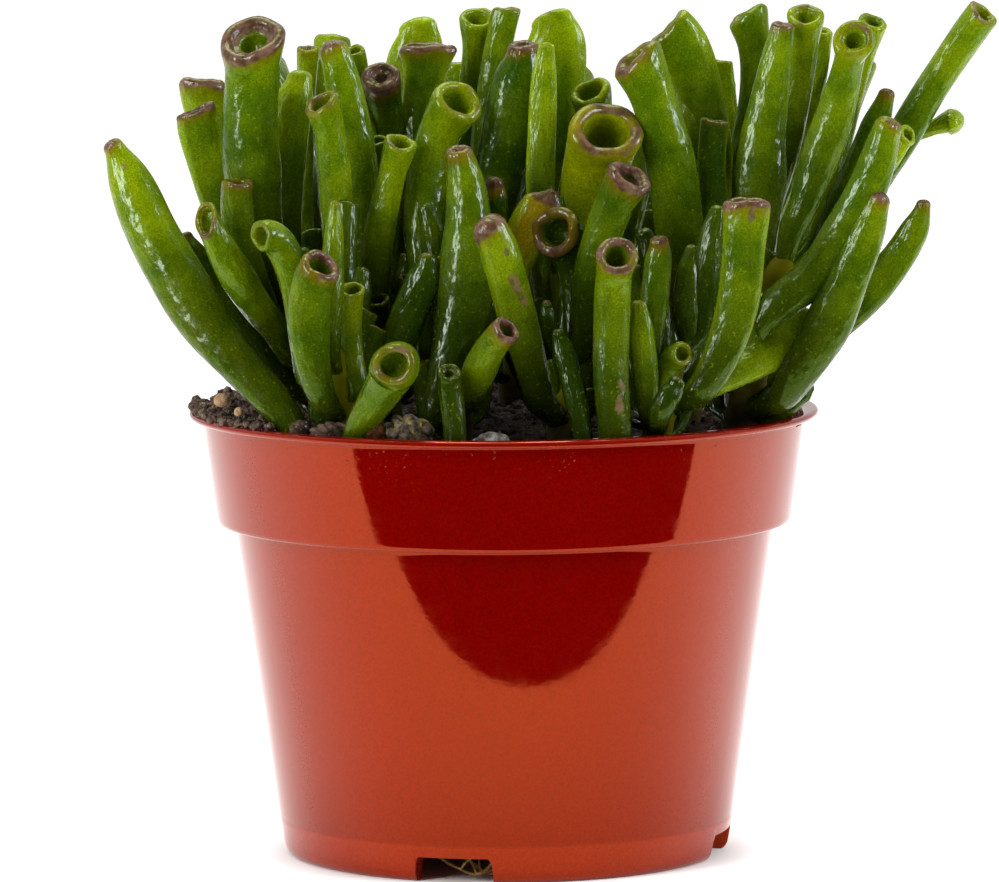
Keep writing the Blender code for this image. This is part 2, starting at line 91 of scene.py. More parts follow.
bpy.context.scene.view_settings.view_transform = "Standard"
REFLECTION_SHEET_START, REFLECTION_SHEET_END, REFLECTION_SHEET_HALF_WIDTH = 130.0, 1400.0, 1500.0
REFLECTION_SHEET_TURN = math.radians(8)
FLOOR_HALF_WIDTH = 9000.0
GLOW_NEAR, GLOW_FAR, FLOOR_GLOW = 0.038, 0.052, 0.47
SKY_FRONT, SKY_BACK = 0.10, 0.76


class Nodes:
    """A node tree, with a short word for each node that the finishes here are made of. Each input is a plain
    value or the socket that feeds it, and colours to mix are (red, green, blue)."""

    def __init__(self, owner):
        owner.use_nodes = True
        self.tree = owner.node_tree
        self.spot = self.add("TexCoord", out="Object")

    def feed(self, node, inputs):
        for key, value in inputs.items():
            if isinstance(value, bpy.types.NodeSocket):
                self.tree.links.new(value, node.inputs[key])
            else:
                node.inputs[key].default_value = value

    def add(self, kind, inputs=(), out=0, **settings):
        node = self.tree.nodes.new("ShaderNode" + kind)
        for key, value in settings.items():
            setattr(node, key, value)
        self.feed(node, dict(inputs))
        return node.outputs[out]

    def surface(self, colour, roughness, specular, tint=(1, 1, 1), **others):
        inputs = {"Base Color": colour, "Roughness": roughness, "Specular IOR Level": specular}
        inputs["Specular Tint"] = (*tint, 1)
        self.feed(self.tree.nodes["Principled BSDF"], {**inputs, **others})

    def reckon(self, operation, a, b, clamp=False):
        return self.add("Math", {0: a, 1: b}, operation=operation, use_clamp=clamp)

    def plus(self, a, b, clamp=False):
        return self.reckon("ADD", a, b, clamp)

    def minus(self, a, b):
        return self.reckon("SUBTRACT", a, b)

    def times(self, product, *others, clamp=False):
        for other in others:
            product = self.reckon("MULTIPLY", product, other, clamp)
        return product

    def ramp(self, value, low, high, start=0.0, end=1.0, kind="LINEAR"):
        """Start below low, end above high, and an even change between them."""
        inputs = {"Value": value, "From Min": low, "From Max": high, "To Min": start, "To Max": end}
        return self.add("MapRange", inputs, interpolation_type=kind)

    def smooth(self, value, low, high, start=0.0, end=1.0):
        """Start below low, end above high, and a smooth step between them."""
        return self.ramp(value, low, high, start, end, "SMOOTHSTEP")

    def noise(self, scale, detail=2.0, rough=0.5, at=None):
        at = self.spot if at is None else at
        return self.add("TexNoise", {"Vector": at, "Scale": scale, "Detail": detail, "Roughness": rough})

    def mix(self, share, a, b):
        """Colour a at share 0 and colour b at share 1."""
        a, b = [(*colour, 1) if isinstance(colour, tuple) else colour for colour in (a, b)]
        return self.add("Mix", {0: share, 6: a, 7: b}, out=2, data_type="RGBA")

    def scale(self, colour, share):
        return self.add("VectorMath", {0: colour, 3: share}, operation="SCALE")

    def bump(self, height, distance, strength, under=None):
        inputs = {"Height": height, "Distance": distance, "Strength": strength}
        return self.add("Bump", inputs if under is None else {**inputs, "Normal": under})

    def read(self, name, kind="Fac"):
        """A piece's own value at each point."""
        return self.add("Attribute", out=kind, attribute_name=name)


def new_finish(name):
    """A new material and its nodes."""
    made = bpy.data.materials.new(name)
    return made, Nodes(made)


def flat_sheet(name, corners, colour, roughness, glow=0.0):
    """One four-cornered matt face on the stage. Its glow starts a little outside the pot's foot."""
    finish, nodes = new_finish(name)
    away = nodes.add("VectorMath", {0: nodes.spot, 1: POT_AXIS}, out="Value", operation="DISTANCE")
    strength = nodes.smooth(away, GLOW_NEAR, GLOW_FAR, 0.0, glow) if glow else 0.0
    light = {"Emission Color": (1, 1, 1, 1), "Emission Strength": strength}
    nodes.surface((*colour, 1), roughness, 0.1, **light)
    mesh = bpy.data.meshes.new(name)
    mesh.from_pydata([tuple(p) for p in place(corners)], [], [(0, 1, 2, 3)])
    mesh.materials.append(finish)
    made = added(bpy.data.objects.new(name, mesh))
    return made


floor_corners = np.array([(-1, -1, 0), (1, -1, 0), (1, 1, 0), (-1, 1, 0)]) * FLOOR_HALF_WIDTH
flat_sheet("floor", floor_corners, (0.9, 0.9, 0.9), 0.8, FLOOR_GLOW)
edge_out = np.array([math.sin(REFLECTION_SHEET_TURN), -math.cos(REFLECTION_SHEET_TURN), 0])
edge_along = np.array([math.cos(REFLECTION_SHEET_TURN), math.sin(REFLECTION_SHEET_TURN), 0]) * REFLECTION_SHEET_HALF_WIDTH
reflection_sheet_sides = ((REFLECTION_SHEET_START, -1), (REFLECTION_SHEET_END, -1), (REFLECTION_SHEET_END, 1), (REFLECTION_SHEET_START, 1))
reflection_sheet_corners = [out * edge_out + side * edge_along + (0, 0, 1) for out, side in reflection_sheet_sides]
# A black sheet that no camera, diffuse light or shadow sees: a painted dark reflection in the glossy pot.
dark_reflection_sheet = flat_sheet("dark_reflection_sheet", reflection_sheet_corners, (0, 0, 0), 1.0)
dark_reflection_sheet.visible_camera = False
dark_reflection_sheet.visible_diffuse = False
dark_reflection_sheet.visible_shadow = False
dark_reflection_sheet.visible_transmission = False

# White paper stands round the sides and back, dim towards the front. Seen directly it is white all round.
world = bpy.data.worlds.new("studio")
bpy.context.scene.world = world
sky = Nodes(world)
ahead = sky.add("SeparateXYZ", {0: sky.add("TexCoord", out="Generated")}, out=1)
seen = sky.add("LightPath", out="Is Camera Ray")
level = sky.add("Mix", {0: seen, 2: sky.smooth(ahead, -0.95, 0.1, SKY_FRONT, SKY_BACK), 3: 1.0})
sky.feed(sky.tree.nodes["Background"], {"Color": (1, 1, 1, 1), "Strength": level})
waxy_pieces = bpy.data.collections.new("waxy_pieces")


def soft_light(name, at, aim_height, width, height, power, colour=(1, 1, 0.98), shine=True, fill=True):
    """A rectangular soft light that looks at a point on the pot's axis. It can be left out of the shine, or be
    only the shine of the waxy leaves."""
    light = bpy.data.lights.new(name, "AREA")
    light.shape = "RECTANGLE"
    light.size = width
    light.size_y = height
    light.energy = power
    light.color = colour
    made = added(bpy.data.objects.new(name, light))
    start, end = Vector(place(at)), Vector(place((0, 0, aim_height)))
    made.location = start
    made.rotation_euler = (end - start).to_track_quat("-Z", "Y").to_euler()
    made.visible_glossy = shine
    made.visible_diffuse = fill
    if not fill:
        made.light_linking.receiver_collection = waxy_pieces


WINDOW_BLUE = (0.29, 0.185, 1.0)
soft_light("left_window", (-640, -560, 380), 120, 0.2, 0.5, 34, WINDOW_BLUE, fill=False)
soft_light("right_window", (760, -300, 420), 120, 0.12, 0.45, 22, WINDOW_BLUE, fill=False)
soft_light("left_fill", (-640, -560, 480), 120, 0.3, 0.56, 6.5, shine=False)
soft_light("right_fill", (760, -300, 480), 120, 0.3, 0.5, 5.5, shine=False)
soft_light("overhead", (-60, 150, 900), 100, 0.6, 0.5, 6)

# ---- The pot ----
# A round nursery pot, injection moulded in thin terracotta-red plastic: a tapered body, a wider stepped
# collar with a rolled lip, and a foot ring with four notches that let water drain from under it.

LIP_TOP = 85.0
POT_COLUMNS = 224
FOOT_RADIUS = 42.0
NOTCH_HALF_WIDTH = 7.5
NOTCH_HEIGHT = 4.7
NOTCH_TURN = math.radians(-13.6)
QUARTER = math.pi / 2


def make_piece(name, points, faces, finish, slot, replaced=(), attributes=None, sharp=None):
    """A named piece that rides on the plant's one body, from points in millimetres and its faces."""
    mesh = bpy.data.meshes.new(name)
    mesh.from_pydata(place(points), [], faces)
    mesh.materials.append(finish)
    for key, values in (attributes or {}).items():
        kind, field = ("FLOAT_VECTOR", "vector") if np.ndim(values) == 2 else ("FLOAT", "value")
        made = mesh.attributes.new(key, kind, "POINT")
        made.data.foreach_set(field, np.asarray(values, np.float32).ravel())
    mesh.shade_smooth()
    if sharp is not None:
        mesh.set_sharp_from_angle(angle=math.radians(sharp))
    piece = added(bpy.data.objects.new(name, mesh))
    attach(piece, "root")
    if replaced:
        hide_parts(*replaced)
    if slot == "leaf":
        waxy_pieces.objects.link(piece)


def grid_faces(rows, columns, loop_rows=False):
    """Quads over a grid of points that closes round its columns, and round its rows too if loop_rows."""
    row = np.arange(rows if loop_rows else rows - 1)[:, None]
    column = np.arange(columns)[None, :]
    after_row, after_column = (row + 1) % rows, (column + 1) % columns
    corners = [row * columns + column, row * columns + after_column]
    corners += [after_row * columns + after_column, after_row * columns + column]
    return np.stack([np.broadcast_to(c, (len(row), columns)).ravel() for c in corners], 1)


def polar(radius, turn, height):
    """Points at a radius, an angle and a height round the pot's axis."""
    return np.stack(np.broadcast_arrays(radius * np.cos(turn), radius * np.sin(turn), height), -1)


def round_turn(columns):
    """Even angles once round."""
    return np.linspace(0, 2 * math.pi, columns, endpoint=False)


def pairs(text):
    """The numbers of a line, two by two."""
    return np.array(text.split(), float).reshape(-1, 2)


def pot_section():
    """The wall's closed outline as (radius, height) pairs: up the outside, over the lip, down the inside. The
    body and the collar are straight between the points at their ends."""
    ring = pairs("41 0  41.5 .15  42 .6  42.4 1.3  42.6 2.2  42.95 4  43.3 6.3  43.42 6.8  43.4 7.1  43.45 7.5"
                 "  43.75 9.3")
    body = np.array([0.01, *np.linspace(0.08, 0.92, 12), 0.99])[:, None]
    step = pairs("51.4 63  51.5 63.35  51.8 63.55  52.4 63.6  54.2 63.65  54.6 63.75  54.85 64.05  54.95 64.6")
    collar = np.array([0.02, *np.linspace(0.1, 0.9, 7), 0.98])[:, None]
    lip = pairs("57.35 83.2  57.45 83.4  57.75 83.52  59.3 83.6  59.75 83.8  60 84.2  59.9 84.65  59.6 84.9"
                "  59.2 85  57.6 85  57 84.85  56.7 84.4  56.4 83.6")
    inside = pairs("53.9 65.6  53.4 64.9  50.8 64.3  50.3 63.2  50 62  42.6 7.6  42 6.5  41 6")
    floor = pairs("30 6  12 6  4 6  4 5  12 5  30 5  38 5  38.9 4.6  39.2 3.6  39.3 1.2  39.4 .3  39.7 0")
    body = ring[-1] + (step[0] - ring[-1]) * body
    collar = step[-1] + (lip[0] - step[-1]) * collar
    return np.concatenate([ring, body, step, collar, lip, inside, floor])


def notch_lift(turn):
    """How far the foot's edge is raised at an angle: a flat arch with rounded top corners, four times round."""
    away = np.abs((turn - NOTCH_TURN + QUARTER + QUARTER / 2) % QUARTER - QUARTER / 2) * FOOT_RADIUS
    inner = np.clip((NOTCH_HALF_WIDTH - away) / 0.9, 0, 1)
    return NOTCH_HEIGHT * np.sqrt(1 - (1 - inner) ** 2)


def make_pot(finish):
    """The section turned about the axis, with extra columns at the notches' sides. Its lowest points are raised
    into the notches' arches."""
    middles = NOTCH_TURN - QUARTER + np.arange(4)[:, None] * QUARTER
    sides = (NOTCH_HALF_WIDTH - np.array([-0.042, 0.0, 0.1, 0.25, 0.5, 0.9])) / FOOT_RADIUS
    fine = np.concatenate([middles - sides, middles + sides]) % (2 * math.pi)
    turn = np.unique(np.round(np.concatenate([round_turn(POT_COLUMNS), fine.ravel()]), 6))
    section = pot_section()
    radius = np.broadcast_to(section[:, :1], (len(section), len(turn)))
    height = np.broadcast_to(section[:, 1:], radius.shape)
    low = (height < NOTCH_HEIGHT + 0.2) & (radius > 37)
    height = np.where(low, np.maximum(height, notch_lift(turn) + 0.02 * height), height)
    faces = grid_faces(len(section), len(turn), loop_rows=True)[:, ::-1]
    make_piece("pot_shell", polar(radius, turn, height).reshape(-1, 3), faces, finish, "pot", ("pot",), sharp=48)


def pot_finish():
    """Glossy moulded plastic: deep red in itself and speckled, paler at the foot, with fine scuffs, soil stains
    under the lip and dust in them."""
    made, n = new_finish("terracotta_plastic")
    height = n.add("SeparateXYZ", {0: n.spot}, out=2)
    colour = n.mix(n.noise(45.0, 3.0), (0.122, 0.0003, 0.0001), (0.140, 0.0005, 0.0002))
    colour = n.mix(n.times(n.smooth(height, 0.0072, 0.0066), 0.35), colour, (0.32, 0.022, 0.005))
    crumbs = n.smooth(n.noise(700.0, 3.0, 0.65), 0.66, 0.72)
    patches = n.smooth(n.noise(60.0), 0.52, 0.62)
    under_lip = n.times(n.smooth(height, 0.0775, 0.0835), n.smooth(height, 0.0855, 0.0845))
    dirt = n.times(crumbs, patches, under_lip)
    colour = n.mix(dirt, colour, (0.06, 0.02, 0.012))
    dusty = n.times(n.smooth(height, 0.074, 0.0835), n.smooth(n.noise(70.0), 0.45, 0.65), 0.7)
    colour = n.mix(n.times(n.smooth(n.noise(1700.0, 1.0), 0.68, 0.73), dusty), colour, (0.42, 0.10, 0.02))
    colour = n.scale(colour, n.ramp(n.noise(2400.0, 1.0), 0.3, 0.7, 0.82, 1.18))
    scuffs = n.smooth(n.noise(260.0, 4.0, 0.6), 0.35, 0.8, 0.04, 0.10)
    skin = n.bump(dirt, 0.0003, 0.8, n.bump(n.noise(900.0), 0.00002, 0.25))
    n.surface(colour, n.plus(scuffs, n.times(dirt, 0.6)), 1.0, (1.0, 0.20, 0.062), IOR=1.65, Normal=skin)
    return made


make_pot(pot_finish())

# ---- The soil ----
# Dark peat with grey grit, filled to just under the lip and heaped up at the left, where it spills over
# the lip. Its crumbs are loose lumps that lie on the surface.

SOIL_TOP = 82.0
HEAP_DIRECTION = 197.0
HEAP_HALF_WIDTH = 38.0
WALL_RADIUS = 56.25
LIP_INNER_RADIUS = 56.6
SOIL_COLUMNS = 260
LOOSE_CRUMBS = 1500


def eased(share):
    """A smooth step: flat at 0 and at 1."""
    return share * share * (3 - 2 * share)


def lattice(points, seed):
    """Smooth noise from 0 to 1: random values at whole-number points, blended between them along each axis."""
    cell = np.floor(points)
    share = eased(points - cell)
    total = 0
    for corner in np.ndindex(2, 2, 2):
        key = (cell + corner) @ np.array([127.1, 311.7, 74.7]) + seed * 19.19
        value = np.sin(key) * 43758.5453
        value = value - np.floor(value)
        total = total + value * np.prod(np.where(np.array(corner) == 1, share, 1 - share), -1)
    return total


def layered(points, seed, layers=4):
    """Noise from about -1 to 1, each layer twice as fine and half as high as the one before."""
    total, reach = 0, 0
    for layer in range(layers):
        total = total + (lattice(points * 2.0**layer, seed + layer) * 2 - 1) * 0.5**layer
        reach += 0.5**layer
    return total / reach


def heap_lift(turn):
    """1 in the middle of the heap, falling smoothly to 0 at its sides."""
    away = (np.degrees(turn) - HEAP_DIRECTION + 180) % 360 - 180
    return eased(np.clip(1.5 * (1 - np.abs(away) / HEAP_HALF_WIDTH), 0, 1))


def soil_height(radius, turn):
    """The soil's surface: flat in the middle, sinking a little to the wall, and raised in the heap."""
    inset = WALL_RADIUS - radius
    edge = np.interp(inset, [0, 1, 3, 9, 20, 36], [-2.6, -1.6, -0.8, -0.4, 0.0, 0.3])
    rise = np.interp(inset, [-2, 0, 1, 3, 9, 20], [4.6, 5.2, 6.4, 7.6, 4.2, 0.0])
    behind = np.clip(np.sin(turn) * 1.6, 0, 1) * np.interp(inset, [0, 1, 6, 18], [4.6, 4.0, 2.4, 0.0])
    ground = SOIL_TOP + edge + rise * heap_lift(turn) + behind
    spot = polar(radius, turn, 0.0)
    return ground + 0.9 * layered(spot / 5.0, 3) + 0.35 * layered(spot / 1.2, 9, 3)


def closed_faces(rows, columns):
    """A grid that closes round its columns, with one point before its first row and one after its last."""
    side = np.arange(columns)
    after = (side + 1) % columns
    first, last, top = rows * columns, rows * columns + 1, (rows - 1) * columns
    low = np.stack([np.full(columns, first), after, side], 1)
    high = np.stack([np.full(columns, last), top + side, top + after], 1)
    return [*grid_faces(rows, columns).tolist(), *low.tolist(), *high.tolist()]


def make_soil(finish):
    """A polar grid over the surface, whose edge runs down inside the pot's wall to a closed underside."""
    turn = round_turn(SOIL_COLUMNS)
    spill = np.clip((heap_lift(turn) - 0.97) / 0.03, 0, 1)
    rings = [polar(radius, turn, height) for radius, height in pairs("45.5 40  49 61  53 65.5  54.9 77")]
    for share in (*np.linspace(1, 0.9, 14), *np.linspace(0.88, 0.02, 46)):
        radius = (WALL_RADIUS - 0.5) * share + 1.4 * spill * np.clip((share - 0.93) / 0.07, 0, 1)
        rings.append(polar(radius, turn, soil_height(radius, turn)))
    points = np.concatenate([*rings, [(0, 0, 40.0), (0, 0, SOIL_TOP + 0.3)]])
    make_piece("peat", points, closed_faces(len(rings), len(turn)), finish, "soil", ("soil",))


def soil_finish(name, dark, dry, grit):
    """Matt crumbly peat: dark where it is damp, paler where it is dry, with specks of grit."""
    made, n = new_finish(name)
    colour = n.mix(n.smooth(n.noise(520.0, 4.0, 0.7), 0.3, 0.7), dark, dry)
    specks = n.smooth(n.noise(1700.0, 1.0), 0.68, 0.72)
    colour = n.mix(n.times(specks, 0.8), colour, grit)
    n.surface(colour, 0.95, 0.2, Normal=n.bump(n.noise(1100.0, 4.0, 0.7), 0.0008, 1.0))
    return made


# The peat in the pot is a darker copy of the heap's dry peat: partly the peat's own colour, and partly painted
# shade under the leaves.
peat_finish = soil_finish("dark_peat", (0.004, 0.003, 0.002), (0.045, 0.03, 0.022), (0.22, 0.2, 0.17))
dry_peat = soil_finish("dry_peat", (0.012, 0.007, 0.005), (0.17, 0.115, 0.085), (0.5, 0.44, 0.38))
make_soil(peat_finish)


def ball(detail):
    """The points and triangles of a ball with radius 1."""
    shape = bmesh.new()
    bmesh.ops.create_icosphere(shape, subdivisions=detail, radius=1.0)
    points = np.array([v.co for v in shape.verts])
    faces = np.array([[v.index for v in f.verts] for f in shape.faces])
    shape.free()
    return points, faces


def turned(points, angle, first=0, second=1):
    """The points turned by an angle in the plane of two of their coordinates."""
    a, b = points[..., first], points[..., second]
    made = points.copy()
    made[..., first] = a * np.cos(angle) - b * np.sin(angle)
    made[..., second] = a * np.sin(angle) + b * np.cos(angle)
    return made


def lumps(spots, sizes, seed, rough=0.35):
    """A lump at each spot: a ball squeezed along three turned axes, its surface pushed in and out by noise."""
    points, faces = ball(1)
    draw = np.random.default_rng(seed)
    count = len(spots)
    squeeze = draw.uniform(0.55, 1.0, (count, 1, 3)) * sizes[:, None, None]
    squeeze[..., 2] *= draw.uniform(0.75, 1.0, (count, 1))
    push = 1 + rough * layered(points[None] * 1.3 + draw.uniform(0, 99, (count, 1, 3)), seed, 2)
    turn = draw.uniform(0, 2 * math.pi, (count, 1))
    tilt = draw.normal(0, 0.5, (count, 1))
    placed = turned(turned(points[None] * push[..., None] * squeeze, tilt, 0, 2), turn) + spots[:, None]
    every = faces[None] + (np.arange(count) * len(points))[:, None, None]
    return placed.reshape(-1, 3), every.reshape(-1, 3)


def scattered(count, seed, middle, spread, least=0.0, most=55.0):
    """Spots on the soil, with angles spread round a middle one and radii even over the area."""
    draw = np.random.default_rng(seed)
    turn = np.radians(middle + draw.uniform(-spread, spread, count))
    radius = np.sqrt(draw.uniform(least**2, most**2, count))
    return polar(radius, turn, soil_height(radius, turn))


def crumb_sizes(count, seed, least, most):
    """Sizes from least to most, the small ones the commonest."""
    return least + (most - least) * np.random.default_rng(seed).uniform(0, 1, count) ** 2.5


crumb_spots = scattered(LOOSE_CRUMBS, 5, 0, 180)
make_piece("peat_crumbs", *lumps(crumb_spots, crumb_sizes(LOOSE_CRUMBS, 6, 0.4, 1.9), 7), peat_finish, "soil")
heap_spots = np.concatenate([scattered(1500, 11, 197, 25, 46, 59.6), scattered(600, 12, 252, 34, 45, 55.5)])
over_lip = np.hypot(heap_spots[:, 0], heap_spots[:, 1]) > LIP_INNER_RADIUS
heap_spots[:, 2] = np.where(over_lip, np.maximum(heap_spots[:, 2], LIP_TOP + 0.3), heap_spots[:, 2])
heap_spots[:, 2] += np.random.default_rng(13).uniform(-0.3, 0.8, len(heap_spots))
heap_sizes = crumb_sizes(len(heap_spots), 14, 0.25, 1.3)
make_piece("dry_crumbs", *lumps(heap_spots, heap_sizes, 15, 0.6), dry_peat, "soil")

# ---- The stones, grit and bark ----
# Two pebbles, a chip of reddish bark and dark clinker lie on the peat in front; tan grit and a few white
# grains are mixed through it.


def stone_finish(name, dark, light, patch, patch_from, scale=260.0):
    """Mottled stone, with patches of a third colour."""
    made, n = new_finish(name)
    colour = n.mix(n.smooth(n.noise(scale, 4.0, 0.65), 0.3, 0.7), dark, light)
    patches = n.smooth(n.noise(scale * 0.8, 3.0, 0.6), patch_from, patch_from + 0.05)
    skin = n.bump(n.noise(900.0, 4.0, 0.65), 0.0006, 1.0)
    n.surface(n.mix(patches, colour, patch), 0.8, 0.2, (1.0, 0.9, 0.3), Normal=skin)
    return made


def make_stone(name, centre, half, turn_degrees, seed, finish, slot="stone", replaced=(), ridge=0.0, rough=0.16):
    """A worn pebble: a ball pushed in and out by noise, with a few slanting ridges, stretched to its size."""
    points, faces = ball(5)
    push = 1 + rough * layered(points * 1.2 + seed, seed, 4)
    push = push + ridge * np.abs(np.sin(points[:, 0] * 5 + points[:, 2] * 3 + seed)) ** 0.6
    shape = turned(points * push[:, None] * np.array(half) / (1 + 0.5 * ridge), math.radians(turn_degrees))
    make_piece(name, shape + np.array(centre), faces, finish, slot, replaced)


lichen = stone_finish("lichened_stone", (0.008, 0.006, 0.004), (0.18, 0.145, 0.105), (0.26, 0.19, 0.03), 0.58, 760)
grey = stone_finish("grey_stone", (0.04, 0.036, 0.032), (0.27, 0.26, 0.24), (0.04, 0.03, 0.022), 0.56, 700)
tan = stone_finish("tan_stone", (0.24, 0.13, 0.06), (0.46, 0.3, 0.17), (0.3, 0.12, 0.03), 0.6)
chip = stone_finish("red_bark", (0.012, 0.004, 0.002), (0.11, 0.043, 0.018), (0.17, 0.085, 0.045), 0.6, 500)
make_stone("pebble_with_lichen", (-17.4, -48.4, 85.3), (4.2, 2.7, 3.3), -8, 2, lichen, "stone",
           ("pebble_lichened",), 0.4, 0.3)
make_stone("pebble_low", (-2.6, -52.4, 84.1), (3.1, 2.2, 1.9), 3, 5, grey, "stone", ("pebble_grey",), 0.12, 0.28)
make_stone("bark_piece", (-23.3, -49.2, 84.7), (2.2, 1.0, 2.3), 25, 8, chip, "bark", ("bark_chip",), 0.3)
make_stone("clinker_left", (-32.6, -43.6, 85.0), (3.3, 2.2, 2.0), 12, 11, dry_peat, ridge=0.3, rough=0.3)
make_stone("clinker_left_small", (-38.0, -38.5, 85.4), (1.9, 1.5, 1.4), -20, 12, dry_peat, ridge=0.2, rough=0.3)
make_stone("clinker_right", (55.0, -14.0, 84.8), (1.6, 1.6, 2.2), 30, 14, dry_peat, ridge=0.2, rough=0.3)
make_stone("tan_pebble", (-53.0, -23.0, 89.2), (1.6, 1.3, 1.3), 30, 17, tan)
make_stone("tan_grain", (-49.6, -29.5, 87.6), (0.9, 0.8, 0.9), 0, 19, tan)
GRIT_GRAINS = 110
grit_spots = scattered(GRIT_GRAINS, 21, 250, 100, 20, 55)
make_piece("grit", *lumps(grit_spots, crumb_sizes(GRIT_GRAINS, 22, 0.35, 0.95), 23), grey, "stone")

# ---- The roots ----
# Thin, tough, yellowish threads of living root. They grow from the peat through the hole in the pot's base, and
# loop behind its front notch.

THREAD_ROWS, THREAD_COLUMNS = 24, 8
# Each thread: its two ends, how far it sags between them, and its radius.
THREADS = (
    ((-8.0, -36.0, 4.6), (-3.0, -39.4, 4.4), (0.5, -1.0, -3.0), 0.28),
    ((-6.0, -34.0, 4.8), (-0.5, -38.6, 4.6), (0.0, -1.6, -3.4), 0.22),
    ((-12.0, -34.0, 4.6), (-6.5, -39.0, 4.5), (0.0, -0.8, -2.4), 0.2),
    ((-14.0, -33.0, 4.8), (2.0, -37.0, 4.7), (0.0, -2.4, -3.6), 0.25),
    ((4.0, -30.0, 4.9), (-9.0, -36.0, 4.8), (0.0, -1.0, -4.0), 0.3),
)


def unit(vector):
    """The vector at length 1."""
    vector = np.asarray(vector, float)
    return vector / np.linalg.norm(vector, axis=-1, keepdims=True)


def thread(start, end, sag, radius, seed):
    """A tube round a line from start to end that sags and wanders, with closed ends."""
    along = np.linspace(0, 1, THREAD_ROWS)[:, None]
    line = np.array(start) * (1 - along) + np.array(end) * along
    line = line + np.array(sag) * np.sin(math.pi * along)
    line = line + 0.5 * np.concatenate([np.sin(9 * along + seed), np.cos(7 * along + seed), 0 * along], 1)
    way = unit(np.gradient(line, axis=0))
    side = unit(np.cross(way, (0.1, 0.2, 1.0)))
    up_side = np.cross(way, side)
    turn = round_turn(THREAD_COLUMNS)[:, None]
    rings = line[:, None] + radius * (np.cos(turn) * up_side[:, None] + np.sin(turn) * side[:, None])
    return np.concatenate([rings.reshape(-1, 3), line[:1], line[-1:]]), closed_faces(THREAD_ROWS, THREAD_COLUMNS)


def joined(parts):
    """Several shapes as one: each shape's corners are counted on from the last point of the one before."""
    points, faces, count = [], [], 0
    for own_points, own_faces in parts:
        points.append(own_points)
        faces += [tuple(corner + count for corner in face) for face in own_faces]
        count += len(own_points)
    return np.concatenate(points), faces


root_skin = soil_finish("root_skin", (0.16, 0.09, 0.02), (0.34, 0.22, 0.07), (0.4, 0.3, 0.15))
threads = [thread(*row, number * 1.7) for number, row in enumerate(THREADS)]
make_piece("root_threads", *joined(threads), root_skin, "soil")

# ---- The stems ----
# Thirteen short fleshy stems rise from the peat. Each is ringed where old leaves fell, brown and corky at
# its foot and green towards its tip.

STEM_FOOT = 79.0
STEM_COLUMNS = 20
# Each stem: foot (x, y), top (x, y), height of the top, radius at the foot and at the top.
STEM_TABLE = """
left -33 -13 -35 -9 106 3.2 2.6
left_front -30 -38 -31 -37 101 3.0 2.4
left_inner -21 -15 -25 -9 103 3.0 2.4
front -9 -34 -8 -26 104 3.0 2.4
centre 11 -33 12 -21 102 3.4 2.6
right_front 27 -40 32 -38 99 3.0 2.4
right 43 -22 53 -20 116 3.4 2.8
right_inner 34 0 38 2 104 3.0 2.4
middle -9 9 -8 10 104 3.2 2.6
middle_right 12 8 12 8 98 3.0 2.4
back_left -27 26 -30 29 107 3.2 2.6
back 2 35 2 38 103 3.0 2.4
back_right 30 28 33 31 108 3.2 2.6
"""
STEMS = {"stem_" + name: list(map(float, row)) for name, *row in map(str.split, STEM_TABLE.strip().splitlines())}


def stem_at(name, height):
    """The stem's centre and radius at a height: both change evenly from its foot to its top."""
    *ends, top_height, foot_radius, top_radius = STEMS[name]
    share = (height - STEM_FOOT) / (top_height - STEM_FOOT)
    low, high = np.array([*ends[:2], STEM_FOOT]), np.array([*ends[2:], top_height])
    return low + (high - low) * share, foot_radius + (top_radius - foot_radius) * share


def make_stem(name, finish, seed):
    """Rings up the stem's line: the radius swells at each node, waves round it, and closes in a dome on top."""
    top_height = STEMS[name][4]
    along = np.concatenate([np.linspace(0, 0.96, 30), [0.98, 0.995]])
    turn = round_turn(STEM_COLUMNS)
    rings = []
    for share, height in zip(along, STEM_FOOT - 5 + (top_height - STEM_FOOT + 5) * along):
        centre, radius = stem_at(name, height)
        swell = 1 + 0.12 * np.exp(-((((height * 0.19 + seed) % 1) - 0.5) ** 2) / 0.012)
        dome = np.sqrt(max(0.0, 1 - max(0.0, (share - 0.9) / 0.1) ** 2))
        wave = 1 + 0.05 * np.sin(3 * turn + seed + height * 0.3)
        rings.append(centre + polar(radius * swell * dome * wave, turn, 0.0))
    points = np.concatenate([*rings, [rings[0].mean(0), stem_at(name, top_height)[0]]])
    green = np.concatenate([np.repeat(along, len(turn)), [0, 1]])
    faces = closed_faces(len(rings), len(turn))
    make_piece(name + "_bark", points, faces, finish, "stem", (name,), {"greenness": green})


def stem_finish():
    """Fleshy bark: grey-brown cork below, olive green above, with fine cracks lengthwise."""
    made, n = new_finish("fleshy_stem")
    cloud = n.noise(300.0, 4.0, 0.6)
    cork = n.mix(cloud, (0.010, 0.007, 0.003), (0.045, 0.030, 0.014))
    flesh = n.mix(cloud, (0.045, 0.052, 0.0006), (0.13, 0.12, 0.002))
    share = n.smooth(n.plus(n.read("greenness"), n.times(cloud, 0.4)), 0.45, 0.8)
    tall = n.add("Mapping", {"Vector": n.spot, "Scale": (1, 1, 0.3)})
    skin = n.bump(n.noise(700.0, 3.0, at=tall), 0.00025, 0.4)
    n.surface(n.mix(share, cork, flesh), 0.6, 0.12, (0.7, 0.9, 0.12), Normal=skin)
    return made


bark = stem_finish()
for number, stem_name in enumerate(STEMS):
    make_stem(stem_name, bark, 0.37 * number)

# ---- The leaves of the left-hand shoots ----
# Thick, waxy, nearly round leaves that grow from the stems. Each ends in a cup, a slanted spoon or a
# blunt edge, and its rim is flushed mauve where the sun reaches it.

TOP = 0
LEAF_COLUMNS = 32


